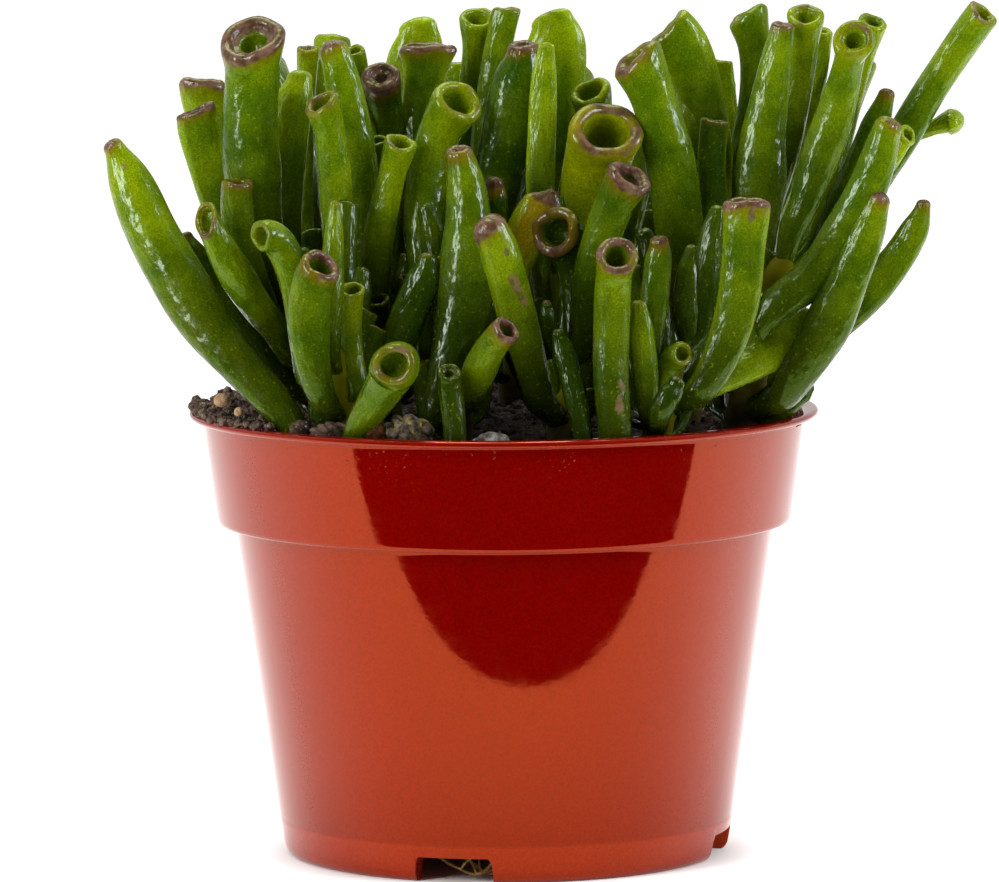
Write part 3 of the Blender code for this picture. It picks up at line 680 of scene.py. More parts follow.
def leaf_start(stem, height, middle, mouth, width):
    """Where a leaf leaves its stem, and the stem's heart there: on the stem's top, or on the side towards the
    leaf's middle, found in three tries. A leaf with its own foot starts there."""
    if not isinstance(stem, str):
        return stem, stem - (0, 0, 3.0)
    if height == TOP:
        top, _ = stem_at(stem, STEMS[stem][4])
        lean = unit(middle - top)
        return top + (0, 0, 0.5 + 0.5 * width * math.hypot(lean[0], lean[1])), top - (0, 0, 2.5)
    centre, radius = stem_at(stem, height)
    out = unit((middle - centre) * (1, 1, 0))
    base = centre + out * radius
    for _ in range(3):
        start = unit(2 * middle - (base + mouth) / 2 - base)
        steep = math.sqrt(max(0.0, 1 - (start @ out) ** 2))
        base = centre + out * (radius + 0.7 + 0.45 * width * steep)
    return base, centre - (0, 0, 1.5)


def leaf_line(base, heart, middle, mouth, facing, bend, along):
    """The leaf's middle line and its direction: a cubic curve through three points that bends the way the
    mouth faces, with its first tenth drawn in to the stem's heart."""
    corner = 2 * middle - (base + mouth) / 2
    first = base + (corner - base) * 2 / 3
    turned_in = unit((1 - bend) * unit(mouth - corner) + bend * unit(facing))
    second = mouth - np.linalg.norm(mouth - corner) * 2 / 3 * turned_in
    t = along[:, None]
    line = (1 - t) ** 3 * base + 3 * t * (1 - t) ** 2 * first + 3 * t**2 * (1 - t) * second + t**3 * mouth
    way = 3 * (1 - t) ** 2 * (first - base) + 6 * t * (1 - t) * (second - first) + 3 * t**2 * (mouth - second)
    return line + (heart - base) * np.clip(1 - t / 0.12, 0, 1) ** 2, unit(way)


def leaf_end(ring, out, width, kind, hole):
    """The rings past the mouth's edge, the last point, and each ring's distance from the crest of the rim.

    A point is a dome. Otherwise the rim is half a turn of a small circle, then a shelf slopes in to the edge of
    the hole, and a bowl sinks from there as a quarter of an oval. A blunt end has no hole, only a saucer.
    """
    centre = ring.mean(0)
    inward = centre - ring
    reach = np.linalg.norm(inward, axis=1, keepdims=True)
    narrow = reach.min()
    if kind == "point":
        around = np.linspace(0, QUARTER, 10)[1:-1][:, None, None]
        rise = 0.8 * narrow + 0.1 * width
        rings = ring + inward * (1 - np.cos(around) ** 0.9) + out * rise * np.sin(around)
        arc = rise * 1.3 * (1 - np.linspace(0, 1, 10)[1:-1])
        return rings, centre + out * rise, arc, rise * 1.3
    roll = min(0.09 * width + 0.1, 0.3 * narrow) if kind == "cup" else 0.42 * narrow
    around = np.linspace(0, math.pi, 8)[1:]
    turn = around[:, None, None]
    rim = ring + inward / reach * roll * (1 - np.cos(turn)) + out * roll * np.sin(turn)
    left = max(0.0, 1 - 2 * roll / reach.mean())
    edge = min(0.97, hole / max(left, 0.05)) if kind == "cup" else 0.97
    drop = 0.5 * roll
    depth = 0.6 * hole * width if kind == "cup" else 0.06 * width
    shelf, quarter = np.linspace(0, 1, 5)[1:], np.linspace(0, QUARTER, 9)[1:-1]
    share = np.concatenate([1 + (edge - 1) * shelf, edge * np.cos(quarter)])
    sunk = np.concatenate([drop * shelf**1.5, drop + depth * np.sin(quarter)])
    bowl = centre + (rim[-1] - centre) * share[:, None, None] - out * sunk[:, None, None]
    radial = reach.mean() * left * (1 - share)
    arc = np.concatenate([roll * (QUARTER - around), -1.57 * roll - np.hypot(radial, sunk)])
    return np.concatenate([rim, bowl]), centre - out * (drop + depth), arc, 1.57 * roll


def leaf_widths(widths, along):
    """Half the leaf's width along it: the given widths at their stations, smoothed over a tenth of its length."""
    stations = [0, 0.05, 0.5, 0.86, 1] if len(widths) == 4 else [0, 0.05, 0.5, 0.82, 0.92, 1]
    fine = np.linspace(0, 1, 101)
    half = np.interp(fine, stations, [widths[0] * 0.75, *widths]) / 2
    half = np.convolve(np.pad(half, 4, "edge"), np.ones(9) / 9, "valid")
    return np.interp(along / along[-1], fine, half)


def leaf_shape(stem, height, middle, mouth, widths, flatness, facing, kind, hole, bend, flush, gold, shade, seed):
    """A leaf's points and faces, ring by ring, with everything that its finish reads at each point.

    Each ring is an oval across the middle line; the last ones slide along it to lie in the mouth's plane.
    """
    base, heart = leaf_start(stem, height, middle, mouth, widths[0])
    along = np.concatenate([[0, 0.02, 0.05], np.linspace(0.09, 0.66, 15), np.linspace(0.69, 1, 16)])
    if kind == "point":
        along = along * 0.97
    line, way = leaf_line(base, heart, middle, mouth, facing, bend, along)
    across = unit(np.array([1.0, 0, 0]) - way[:, :1] * way)
    through = np.cross(way, across)
    wide = leaf_widths(widths, along)
    open_flatness = (1 + flatness) / 2 if kind == "cup" else flatness
    thick = wide * np.interp(along, [0, 0.7, 1], [max(flatness, 0.8), flatness, open_flatness])
    share = np.clip((along - 0.7) / (along[-1] - 0.7), 0, 1)[:, None]
    plane = unit((1 - share) * way + share * unit(facing))
    turn = round_turn(LEAF_COLUMNS)
    length = np.concatenate([[0], np.cumsum(np.linalg.norm(np.diff(line, axis=0), axis=1))])
    far = length[:, None]
    uneven = 1 + 0.016 * np.sin(3 * turn + seed * 7 + far * 0.11) + 0.02 * np.sin(2 * turn + seed * 3 + far * 0.23)
    uneven = uneven + 0.028 * np.sin(far * 0.31 + seed * 5 + np.cos(turn))
    ovals = (wide[:, None] * uneven * np.cos(turn))[..., None] * across[:, None]
    ovals = ovals + (thick[:, None] * uneven * np.sin(turn))[..., None] * through[:, None]
    lean = np.maximum((way * plane).sum(-1), 0.45)
    slide = -(ovals * plane[:, None]).sum(-1) / lean[:, None]
    rings = line[:, None] + ovals + slide[..., None] * way[:, None]
    out = plane[-1]
    wave = 0.03 * widths[-1] * (np.sin(2 * turn + seed * 11) + 0.6 * np.sin(5 * turn + seed * 4))
    rings = rings + (np.clip((along - 0.85) / 0.15, 0, 1)[:, None] * wave)[..., None] * out
    end, last, arc, first_arc = leaf_end(rings[-1], out, widths[-1], kind, hole)
    points = np.concatenate([rings.reshape(-1, 3), end.reshape(-1, 3), [rings[0].mean(0), last]])

    from_rim = np.concatenate([length[-1] - length + first_arc, arc])
    steps = np.concatenate([length, length[-1] + np.cumsum(np.abs(np.diff([first_arc, *arc])))]) * 0.2
    grain = polar(1.0, turn, steps[:, None]).reshape(-1, 3)
    last_arc = 0.0 if kind == "point" else arc[-1] - 0.3
    margin = np.tile(np.abs(np.cos(turn)), len(steps)) * (1 - flatness) * 2
    values = {
        "from_rim": np.concatenate([np.repeat(from_rim, LEAF_COLUMNS), [from_rim[0], last_arc]]),
        "grain": np.concatenate([grain, [(0, 0, 0), (0, 0, steps[-1])]]) + seed * 3.7,
        "flush": np.full(len(points), flush),
        "gold": np.full(len(points), gold),
        "shade": np.full(len(points), shade),
        "margin": np.concatenate([margin, [0, 0]]),
    }
    return points, closed_faces(len(steps), LEAF_COLUMNS), values


# Old scars on single leaves: the two ends of each and its half-width.
SCARS = {
    "leaf_left_outer": [(-70.8, -27, 133.8, -70.6, -27, 133.2, 0.8)],
    "leaf_front_left_cup": [(-20.8, -61, 95.6, -20.4, -61, 95.0, 0.9)],
    "leaf_front_slanted": [(0.6, -49, 119.3, 0.9, -49, 118.6, 0.6), (1.6, -49, 113.8, 4.0, -49, 109.0, 1.0)],
    "leaf_front_right_cup": [(22.1, -57, 97.6, 21.5, -56, 90.0, 1.2)],
    "leaf_front_right_flat": [(45, -48, 116.8, 45.2, -48, 116.4, 0.5), (45.9, -48, 126.4, 45.9, -48, 124.6, 0.8)],
}


def scar_values(name, points):
    """1 on a scar's line, falling evenly to 0 at twice its half-width from it."""
    found = np.zeros(len(points))
    for *ends, half in SCARS.get(name, ()):
        start, end = np.reshape(ends, (2, 3))
        way = end - start
        share = np.clip((points - start) @ way / (way @ way), 0, 1)
        away = np.linalg.norm((points - start - share[:, None] * way) * (1, 0.3, 1), axis=1)
        found = np.maximum(found, 1 - away / (2 * half))
    return found


def leaf_finish():
    """Waxy flesh: green with fine pale dots, yellower near the tip, amber under a mauve rim, with corky scars."""
    made, n = new_finish("waxy_leaf")
    from_rim, flush, gold, shade = [n.read(name) for name in ("from_rim", "flush", "gold", "shade")]
    height = n.add("SeparateXYZ", {0: n.spot}, out=2)
    clouds = n.noise(110.0, 3.0, 0.55)
    share = n.smooth(clouds, 0.32, 0.68)
    mottled = n.noise(480.0, 3.0, 0.6)

    # The flesh: darker towards each leaf's foot, partly its own colour and partly painted shade; darker low in
    # the plant's heart, as painted shade; darker by each leaf's shade, which is painted shade; lime or amber
    # towards a yellow leaf's tip.
    green = n.mix(share, (0.020, 0.056, 0.0001), (0.076, 0.130, 0.0002))
    low = n.times(n.smooth(from_rim, 10.0, 42.0), 0.6)
    low = n.plus(low, n.times(n.smooth(height, 0.128, 0.088), 0.4), clamp=True)
    green = n.mix(low, green, (0.012, 0.022, 0.0002))
    green = n.mix(shade, green, (0.010, 0.020, 0.0003))
    lime = n.mix(share, (0.088, 0.146, 0.0003), (0.18, 0.235, 0.0003))
    near_tip = n.plus(0.25, n.times(n.smooth(from_rim, 30.0, 2.0), 0.75))
    colour = n.mix(n.times(gold, near_tip), green, lime)
    amber = n.times(n.smooth(gold, 1.0, 2.0), n.smooth(from_rim, 34.0, 6.0))
    colour = n.mix(amber, colour, (0.18, 0.105, 0.001))
    # Brighter yellow-green along a flat leaf's thin side edges: painted light shining through them.
    edge = n.times(n.smooth(n.read("margin"), 0.5, 1.0), 0.6)
    colour = n.mix(edge, colour, (0.19, 0.27, 0.002))
    # Fine grain in the flesh. The height ramp is painted light from above: the whole colour is darker low in the
    # plant and lighter towards its top.
    fine = n.ramp(n.noise(3200.0, 1.0), 0.3, 0.7, 0.7, 1.3)
    colour = n.scale(colour, n.times(fine, n.ramp(height, 0.095, 0.152, 0.76, 1.16)))
    dots = n.smooth(n.noise(1500.0, 1.0), 0.66, 0.74)
    colour = n.mix(n.times(dots, 0.3), colour, (0.20, 0.27, 0.01))

    # The warm blush below the rim, as deep as the leaf is flushed.
    depth = n.plus(from_rim, n.times(n.minus(n.noise(330.0, 3.0, 0.6), 0.5), 2.4))
    little = n.reckon("MINIMUM", flush, 1.4)
    reach = n.plus(n.times(flush, 1.15), n.times(little, 1.9))
    warm = n.times(n.smooth(n.reckon("DIVIDE", depth, reach), 1.0, 0.2), n.smooth(from_rim, -2.2, -0.8))
    warm = n.times(warm, n.times(little, 0.5), clamp=True)
    colour = n.mix(warm, colour, (0.130, 0.060, 0.001))

    # The mauve rim, broken where the flush is thin.
    outside = n.smooth(n.minus(depth, n.times(flush, 0.95)), 0.55, -0.35)
    inmost = n.minus(-0.1, n.times(flush, 1.3))
    inside = n.smooth(n.minus(from_rim, inmost), -0.4, 0.4)
    uneven = n.plus(flush, n.times(n.minus(n.noise(150.0), 0.5), 4.2))
    rim_share = n.times(outside, inside, n.smooth(uneven, 0.45, 1.4), 0.9)
    mauve = n.mix(n.smooth(mottled, 0.38, 0.66), (0.055, 0.018, 0.018), (0.155, 0.074, 0.066))
    # The rim's mauve darkened by the leaf's shade: painted shade.
    mauve = n.mix(n.times(shade, 0.6), mauve, (0.03, 0.014, 0.006))
    colour = n.mix(rim_share, colour, mauve)

    # The corky scars, and the dented, finely grained skin.
    scar = n.smooth(n.plus(n.read("scar"), n.times(n.minus(mottled, 0.5), 0.9)), 0.42, 0.58)
    cork = n.mix(n.smooth(mottled, 0.4, 0.6), (0.06, 0.025, 0.012), (0.14, 0.066, 0.04))
    grain = n.add("Mapping", {"Vector": n.read("grain", "Vector"), "Scale": (1.4, 1.4, 1.0)})
    skin = n.bump(n.noise(1.5, 2.0, 0.4, at=grain), 0.0012, 0.42)
    skin = n.bump(n.noise(1000.0), 0.00006, 0.5, skin)
    skin = n.bump(mottled, 0.00015, 0.3, skin)
    dull = n.plus(n.plus(0.15, n.times(clouds, 0.14)), n.times(scar, 0.4))
    under_skin = {"Subsurface Weight": 0.12, "Subsurface Radius": (0.8, 1.0, 0.1), "Subsurface Scale": 0.0015}
    colour = n.mix(n.times(scar, 0.75), colour, cork)
    n.surface(colour, dull, 0.36, (0.55, 1.0, 0.14), Normal=skin, **under_skin)
    return made


waxy = leaf_finish()
# What is usual of each tip: the hole's share of the mouth, and how far the leaf bends the way its mouth faces.
USUAL_TIPS = {"cup": (0.6, 0.75), "point": (0, 0.4), "blunt": (0, 0.4)}


def make_leaves(shoots, table):
    """Every leaf of a table, one to a line. Each gives, between commas: the name; the stem and the height on it
    (0 for its top), or the leaf's own foot; the middle of its length; the middle of its mouth; its widths from
    base to mouth; its thickness as a share of width; the way its mouth faces; its kind of tip, and what isn't
    usual of it; how far its rim is flushed, how yellow it is, and its shade: how much darker it is painted, partly
    its own colour and mostly painted shade deep among the other leaves."""
    for row in table.strip().splitlines():
        (name,), root, *lists, (kind, *bowl), tints = [part.split() for part in row.split(",")]
        middle, mouth, widths, (flatness,), facing = [np.array(part, float) for part in lists]
        stem, height = (np.array(root, float), TOP) if len(root) == 3 else ("stem_" + root[0], float(root[1]))
        hole, bend = map(float, bowl or USUAL_TIPS[kind])
        name = "leaf_" + shoots + name
        seed = (sum(ord(letter) * (index + 3) for index, letter in enumerate(name)) % 997) / 997
        points, faces, values = leaf_shape(
            stem, height, middle, mouth, widths, flatness, facing, kind, hole, bend, *map(float, tints), seed
        )
        values["scar"] = scar_values(name, points)
        own = (name,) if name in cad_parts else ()
        make_piece(name + "_flesh" if own else name, points, faces, waxy, "leaf", own, values)


make_leaves("left_", """
blunt,left 93,-48.5 -24 115,-49.5 -25 130,5 6.5 6.2 6,.75,.05 -.2 1,cup,1 .2 .5
dark,left 88,-52 -14 107,-60 -12 119.5,4.5 7 5 2.5,.8,-.3 .2 .9,point,1.2 .1 .7
elbow,left_front 90,-39 -38 109.5,-44.5 -41 121.5,5 6 6.4 6.2,.9,-.75 -.62 -.08,cup .66 1,.3 .5 .2
front_thin,left_front 96,-32 -42 112,-31 -40 128,3.5 5 3.5 2,.85,0 -.3 1,point,.6 .35 .2
thin,left 101,-41.5 -8 132,-38 -6 149,4.5 7.5 7.5 4.5,.7,0 .3 1,point,.5 .8 .1
far,left 102,-39 10 126,-37 8 153,4 4 3.6 4.2,.7,0 -.3 1,cup .4 .75,.9 .6 .1
inner_thin,left_inner 100,-25.5 -2 131.5,-28 0 153,3.5 3.6 3.2 4.2,.85,-.3 -.5 .8,cup .5 .75,.4 .7 .3
inner_dark,left_inner 100,-21 4 128,-23 -4 148.5,5 7 6.8 7.4,.85,-.1 -.78 .62,cup .3 1,3 0 .6
inner_short,left_inner 97,-26 -12 120,-23.5 -10 136.5,3.5 4 4 5.2,.8,-.15 -.35 .9,cup,.15 .85 0
front_yellow,left_front 90,-29 -38 102,-28 -38 111,4 4.5 4.5 5,.85,0 -.55 .8,cup,.4 .9 0
front_dark,left_front 89,-18 -34 105,-14 -34 116.5,4.5 7 6.4 4,.8,.1 -.1 1,point,.5 0 .6
outer,-38 -36 86.3,-60.5 -29 109.9,-73.5 -22 138.5,6.5 10.6 9.6 7.4 3.2,.8,-.55 -.3 .8,point,1.3 .85 0
back,left 96,-50 8 121,-57 6 146.5,5 7 7.5 9,.6,.05 .1 1,blunt,2.6 .5 0
slanted,left 92,-53.5 -10 126,-57.5 -12 142.5,5 8.5 8.2 7.5,.5,-.4 -.15 .85,blunt,1.2 .6 .1
trumpet,left 101,-49 -23 133,-46.5 -21 156.5,5.5 11.2 10.2 10.2 12.2,.85,-.2 -.62 .76,cup .4 .6,2.3 .3 .2
cup,left 95,-51 -34 114,-55 -34 124,5 7 5.2 5.2,.85,-.62 -.6 .5,cup .6 .5,.8 .5 .2
front_stout,left_front 88,-36 -50 105,-33.5 -50 116.5,5 8 8 7.8,.85,.42 -.55 .72,cup .62 .75,1.2 .3 .3
inner_trumpet,left_inner 89,-33 -28 124,-33.5 -28 145,4.5 6.5 5.8 7.4,.85,-.5 -.42 .76,cup,.8 .6 .15
inner_tall,left_inner 0,-27 -16 130,-32 -16 155.5,4.5 7 7.4 5.5,.75,-.35 -.25 .9,point,1.5 .5 .1
inner_cup,left_inner 97,-23.5 -24 119,-19 -22 137,4.5 6 5.2 6.4,.85,.25 -.45 .85,cup,.3 .75 0
inner_low,left_inner 93,-14 -4 110,-10 2 128,4 5.5 5 3,.8,.2 .2 .9,point,.4 .2 .5
""")

# ---- The leaves of the front shoots ----
# The lowest leaves, of the same waxy flesh, in front of the rest: stout cups, a slanted spoon and small new
# leaves. Some grow straight out of the peat, which hides their shoots.

make_leaves("front_", """
small_cup,-9 -52 81,-9 -53 90,-10 -53 97,4 4.6 4.6 4.4,.9,.15 -.75 .65,cup .35 .75,.2 .1 .85
right_pointed,right_front 90,28 -40 109,29 -40 120,4.5 5.5 5 3.5,.85,-.1 -.4 .9,point,1.5 .3 .15
dark,15 -50 81,13 -50 94,10 -48 104,3.5 4.5 4 2.5,.85,-.2 -.4 .9,point,.3 0 .8
bud,centre 97,9 -34 103,8 -34 108,2.5 3 3 2,.85,0 -.4 .9,point,.3 0 .8
low_bud,right_front 86,16 -46 90,16 -46 93,2 2 2 1.5,.85,0 -.4 .9,point,.3 0 .8
right_dim,right 100,39 -28 109,39 -28 117,3.5 4 4 4,.85,0 -.5 .8,cup,.3 0 .8
right_thin,right_front 85,26 -48 98,25 -47 109,3.5 5 4.5 3,.85,-.1 -.3 1,point,.6 .4 .2
right_small_cup,right_front 89,30 -43 95,33 -45 99.5,3.5 4.5 5 5,.9,.6 -.75 .2,cup .55 .75,.4 .5 .1
right_dark,right_front 85,29 -51 90,32 -51 95,3.5 4.5 4.5 3,.85,.3 -.2 .9,point,.3 0 .7
right_far_thin,right_front 89,34 -30 99,35 -30 108,3.5 4.5 4 2,.85,0 -.2 1,point,.4 0 .7
right_far,right_front 83,35 -34 95,38 -32 108,3.5 4.5 3.5 2,.85,.1 -.2 1,point,.4 .1 .6
left_cup,-28 -46 83,-24 -52 92.5,-20 -57 99,5 7.4 9 9.4 8,.9,-.22 -.97 .08,cup .6 1,.7 .5 .1
cup,front 89,-4 -50 97,.5 -54 105,5 6.5 5.6 5.6,.9,.6 -.6 .5,cup,1.3 .4 .2
tall,-13.5 -35 88,-6.5 -34 113,-8 -32 136,6 11.4 7.4 5,.85,-.15 -.35 .9,blunt,1.3 .25 .25
slanted,centre 86,2 -44 106.5,-2.5 -46 123.5,5.5 7.2 7.6 6.4,.85,-.6 -.25 .76,point,3.8 .6 .1
right_cup,21 -49 81,19.5 -53 102,21 -54 118.5,6.4 6.7 6.8 8.2,.9,.1 -.87 .48,cup .68 .8,1 .35 .2
right_flat,right_front 90,42 -45 104,45 -45 127,5.5 7.5 8.2 9,.6,0 -.1 1,blunt,2 .3 .2
""")

# ---- The leaves of the middle shoots ----
# The tallest leaves, and the widest trumpet in the plant's heart. They are of the same flesh, and grow steeply
# from stems that the others hide.

make_leaves("", """
middle_thin,middle 99,-4 8 136,1 8 160,4 5.5 5.2 5.6,.7,0 0 1,blunt,.6 .5 .1
middle_pointed,centre 99,7 -18 132,8.5 -18 156,3.5 5.8 4.8 3,.5,0 -.1 1,point,.4 .6 .2
middle_low,front 100,-2 -26 119,-1.5 -26 130,4 4.8 5 3.4,.85,0 -.3 .9,point,2.2 0 .8
middle_right_cup,middle_right 94,16 2 128,17 0 145,5 6.4 6.8 8,.85,-.4 -.55 .72,cup,.35 .7 .1
centre_dark_cup,centre 98,13 -26 113,10 -30 121,5 6.5 9 11,.85,-.6 -.75 .15,cup .5 .75,1 0 .9
centre_yellow,front 100,3.5 -26 119.5,9.5 -26 128.5,5 8 7.5 1.5,.4,.3 -.1 .95,point,3 1.7 .9
middle_rounded,middle 92,-18.5 22 132.5,-16 20 157.5,5 9.5 11.5 10.4 6.4,.45,-.2 .3 .9,point,.25 .95 0
middle_flat,middle 97,-16 4 132,-14 4 153,5.5 8 7.8 8.6 11,.5,0 -.1 1,blunt,1.9 .3 .1
middle_small_cup,middle 0,-8 12 135,-4.5 10 158.5,4 5 4.6 7,.85,0 -.62 .78,cup .5 .75,.3 .75 0
middle_dark,middle 89,-.5 -10 131,4 -10 154,5.5 11 9.6 5.8,.8,-.05 -.3 1,blunt,1.3 0 .5
middle_trumpet,front 100,-15 -20 123.5,-8.5 -17 144.5,5 7.4 8.4 10,.85,.45 -.68 .58,cup .55 .75,.5 .55 .1
middle_broad,middle_right 0,9 8 133.5,9.5 8 159.5,5 10 12.4 11.4 7,.4,-.35 .1 .93,point,.7 .6 0
centre_trumpet,centre 0,13.5 -18 119.5,19.5 -22 139,6.5 11 12.6 13.4 14.8,.85,.15 -.76 .62,cup .88 .85,1.1 1.3 .2
centre_mauve_trumpet,centre 95,17 -34 115.5,23.5 -36 131.5,5 7 7.4 9.2,.85,.5 -.42 .76,cup .5 .75,2 .2 .3
middle_right_short,middle_right 94,22 14 112,27 17 135,5 7 7 5,.8,.3 .3 .9,point,.4 .3 .4
middle_back_cup,middle 93,-2 18 110,2 22 130,4.5 6.5 6 6.5,.85,.1 .5 .8,cup,.5 .3 .4
""")

# ---- The leaves of the right-hand shoots ----
# Leaves of the same flesh that grow from three stems and lean out over the pot's right side. The outermost one
# reaches the plant's full width.

make_leaves("right_", """
inner_thin,right_inner 100,36 -6 127,35 -6 146,4.5 6.5 5 2.5,.8,0 -.2 1,point,.5 .3 .2
inner_dark,right 96,40 -16 122,40 -14 140,5 6 5.5 5.5,.6,.2 -.1 1,blunt,.6 0 .7
inner_far,right_inner 100,44 10 131,42 8 150,3.5 4.5 4 4,.6,.1 0 1,blunt,.6 .8 .2
cup,right_inner 100,55 -4 136,57.5 -6 159.5,4 5.5 4.8 7.2,.9,0 -.62 .78,cup .5 .75,.4 .7 .1
thin,right_inner 101,59 4 139,61 4 156,3.5 4 3.6 4.2,.8,.1 -.4 .9,cup .5 .75,.2 .9 .1
far_cup,right 113,65 -10 138,70 -10 158.5,4 4.5 4.5 5.5,.85,.3 -.5 .8,cup .5 .75,.3 .75 .1
dark,right 108,65 -16 128,72.5 -18 146.5,4 6 5.5 3,.8,.2 -.2 1,point,1.3 .1 .4
pale_cup,right 113,72 -20 131,76 -20 138,3 3.4 3.4 4.2,.85,.7 -.6 .3,cup,.1 1 0
pale,74.1 -4 135.2,82 -6 138.5,85 -6 139.5,2.5 3 4.6 5.6,.85,.85 -.2 .1,point,.1 1 0
low_dark,right 83,53 -22 88,57 -22 91,4 5 5 3,.8,.5 -.1 .8,point,.3 0 .7
yellow,right_front 90,50 -27 99.5,52.5 -27 106,5 10 12 11,.5,.3 .3 .9,blunt,.4 1 0
inner_slanted,right_inner 91,32 -18 123,25.5 -20 152,6.5 9.8 8.6 9 10.5,.7,-.62 -.3 .72,blunt,1.2 .45 .1
inner_broad,right_inner 98,39 -4 134.5,32 -8 157,5.5 8.5 9.6 10 9.6,.6,-.72 -.05 .69,blunt,.8 .55 .1
inner_tall,right_inner 0,46 2 135.5,47 2 159,5 6.4 5.8 6.4 8.4,.7,-.55 -.05 .83,blunt,.5 .4 .1
tall,right 104,48 -12 130,53 -12 158,5.5 10.6 6.6 5.4 4.4,.75,.1 -.2 1,blunt,1 .4 .1
trumpet,right 0,59.5 -26 134,65.5 -30 156.5,4.5 7.8 5.8 5.8 8.4,.9,0 -.93 .36,cup .42 .75,.6 .5 .1
low_cup,47 -32 105.5,64 -32 119,72 -34 141.5,6.5 8.8 7.2 6.6 5.2,.85,.45 -.35 .85,point,1.2 .35 .1
outer,right 110,77 -12 137,90.5 -12 160,5 6.5 6.2 6.4,.85,.6 -.4 .65,cup .5 .75,.7 .6 .1
pointed,right 93,70 -16 109.5,79.5 -16 125.5,4.5 7 5.5 2.5,.7,.1 -.1 1,point,1.2 .35 .1
curved,right 87,61 -34 104.5,70.5 -34 128.5,6.5 9 7.5 6 4,.75,.35 -.3 .88,point,1.5 .4 .2
back_cup,right 106,62 -4 128,68 4 150,5 7 6.5 7,.85,.4 .5 .7,cup,.6 .4 .1
""")

# ---- The leaves of the back shoots ----
# The same kinds of leaf, most of them grown from the three back stems. They lean out over the pot's far side and
# close the plant all round.

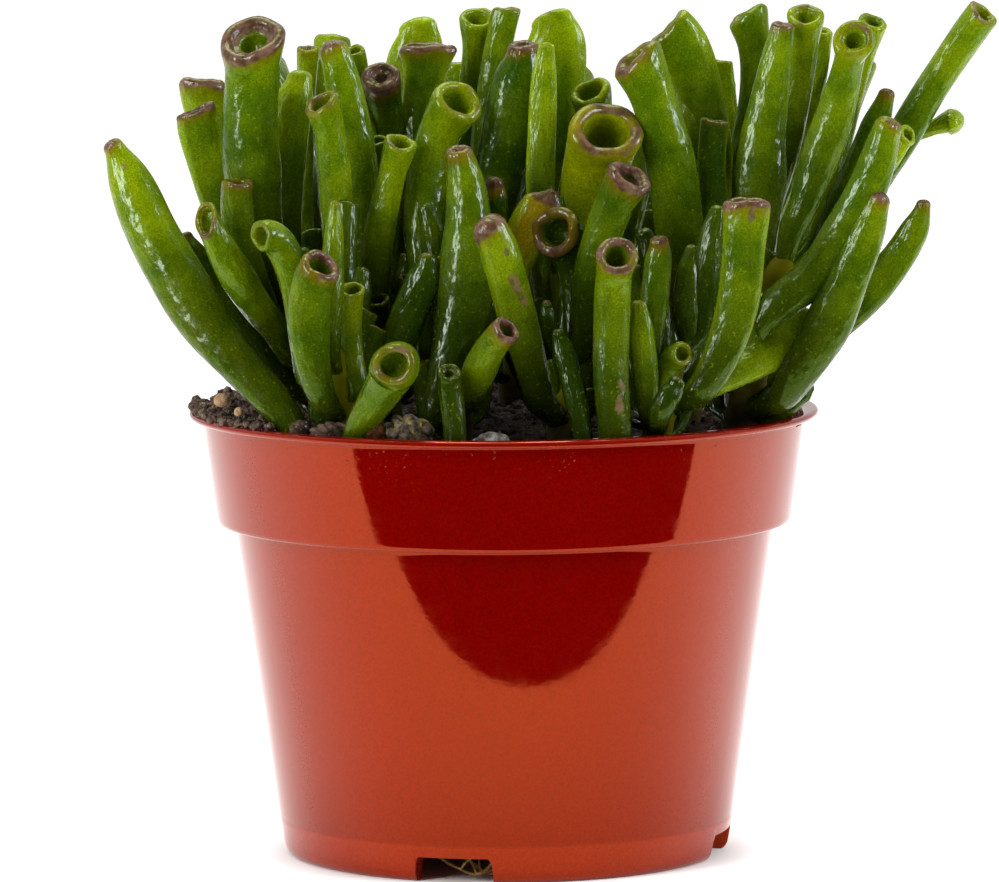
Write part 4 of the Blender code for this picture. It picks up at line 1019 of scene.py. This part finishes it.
make_leaves("back_", """
left_outer,back_left 89,-46 36 108,-53 40 133,6 9 8 4.5,.8,-.7 .4 .6,point,.9 .4 .15
left_trumpet,back_left 97,-40 46 118,-46 54 146,5.5 8 8 8.5,.85,-.3 .8 .5,cup,.8 .4 .1
left_tall,back_left 101,-31 40 126,-33 46 152,5 8 8 7,.7,.1 .6 .8,blunt,.6 .5 .1
left_inner,back_left 104,-42 24 126,-48 22 152,5 7.5 7 7.5,.85,-.7 .2 .7,cup,.7 .3 .2
right_outer,back_right 89,50 38 112,65 44 138,6 9 8 4.5,.8,.6 .5 .6,point,.8 .4 .1
right_trumpet,back_right 94,36 50 116,42 60 142,5.5 8 8.5 9,.85,.1 .85 .5,cup,.9 .35 .2
right_flat,back_right 101,30 42 127,34 46 153,5 9 8.5 7,.55,-.1 .3 1,blunt,.7 .4 .1
right_inner,back_right 98,48 24 128,56 24 153,5 7.5 7 7.5,.85,.6 .3 .7,cup,.8 .4 .1
low,back 87,-12 52 110,-20 62 134,5.5 8.5 8 4.5,.8,-.3 .6 .7,point,.8 .3 .2
trumpet,back 95,12 50 116,14 58 144,5 8 8 8.5,.85,.1 .85 .5,cup,.9 .45 .1
inner_trumpet,middle_right 91,4 24 124,1 28 149,5 7.5 7.5 8.5,.85,0 .8 .6,cup,.7 .4 .1
left_small,back_left 93,-34 40 104,-38 48 122,4.5 6 5.5 6,.85,-.2 .85 .5,cup,.7 .4 .1
left_thin,back_left 0,-34 32 128,-36 34 150,4 5.5 5 3,.8,-.3 .3 .9,point,.6 .4 .2
left_low,back_left 86,-40 40 98,-52 48 112,5 7 6 3.5,.8,-.5 .5 .7,point,.6 .3 .3
left_side,left 90,-46 14 110,-54 18 126,5 7.5 7 7.5,.85,-.7 .4 .5,cup,.8 .4 .1
centre_tall,back 99,-4 40 122,-8 42 147,5 8 8.5 9,.6,0 .2 1,blunt,.6 .4 .1
centre_cup,back 0,6 42 124,9 46 146,4.5 6.5 6 7,.85,.2 .6 .7,cup,.7 .4 .1
centre_low,back 90,4 52 100,6 60 114,5 7 6.5 7,.85,0 .9 .4,cup,.8 .3 .2
centre_side,back 92,-14 46 108,-26 50 124,4.5 6.5 5.5 3,.8,-.5 .5 .7,point,.5 .4 .2
right_small,back_right 91,38 42 104,44 52 118,4.5 6.5 6 6.5,.85,.3 .8 .5,cup,.7 .4 .1
right_thin,back_right 0,34 34 130,34 36 152,4 5.5 5 3,.8,.2 .4 .9,point,.5 .4 .2
right_low,back_right 86,42 34 98,56 38 110,5 7 6 3.5,.8,.7 .4 .6,point,.6 .3 .3
right_side,right_inner 93,54 12 112,66 18 132,5 7.5 7 7.5,.85,.7 .4 .5,cup,.8 .4 .1
""")

# ---- The new leaves ----
# Small leaves of the same flesh, low on every stem, which close the plant's heart. Their dark green is mostly
# painted shade. Those of one stem are one piece.

GOLDEN_TURN = 137.5
NEW_LEAVES = 9
INNER_RADIUS = 52.0


def make_new_leaves(stem, number):
    """Leaves round the stem a golden turn apart and each a little higher; none leans out over the pot's front."""
    centre, _ = stem_at(stem, 90)
    leaves = []
    for index in range(NEW_LEAVES):
        turn = math.radians(GOLDEN_TURN * index + 61 * number)
        out = np.array([math.cos(turn), math.sin(turn), 0])
        if centre[1] < -15 and out[1] < 0:
            out[1] = -out[1]
        height = 83 + 2.1 * index
        start, _ = stem_at(stem, height)
        reach = 5.5 + 1.5 * ((index * 5 + number * 3) % 4)
        tall = 13 + 3.2 * ((index * 3 + number * 5) % 5)
        middle = start + out * reach * 0.75 + (0, 0, tall * 0.45)
        mouth = start + out * reach + (0, 0, tall)
        if math.hypot(mouth[0], mouth[1]) > INNER_RADIUS:
            continue
        kind, widths = "point", (3.5, 5.6, 4.8, 3.2)
        if (index + number) % 3 == 0:
            kind, widths = "cup", (3.5, 5.4, 5.0, 5.2)
        leaves.append(leaf_shape(
            stem, height, middle, mouth, widths, 0.8, 0.5 * out + (0, 0, 0.8), kind, 0.55, 0.5,
            flush=0.45, gold=0.1, shade=0.8, seed=(index * 0.31 + number * 0.17) % 1,
        ))
    values = {key: np.concatenate([leaf[2][key] for leaf in leaves]) for key in leaves[0][2]}
    make_piece(stem + "_new_leaves", *joined([leaf[:2] for leaf in leaves]), waxy, "leaf", (), values)


for number, stem_name in enumerate(STEMS):
    make_new_leaves(stem_name, number)
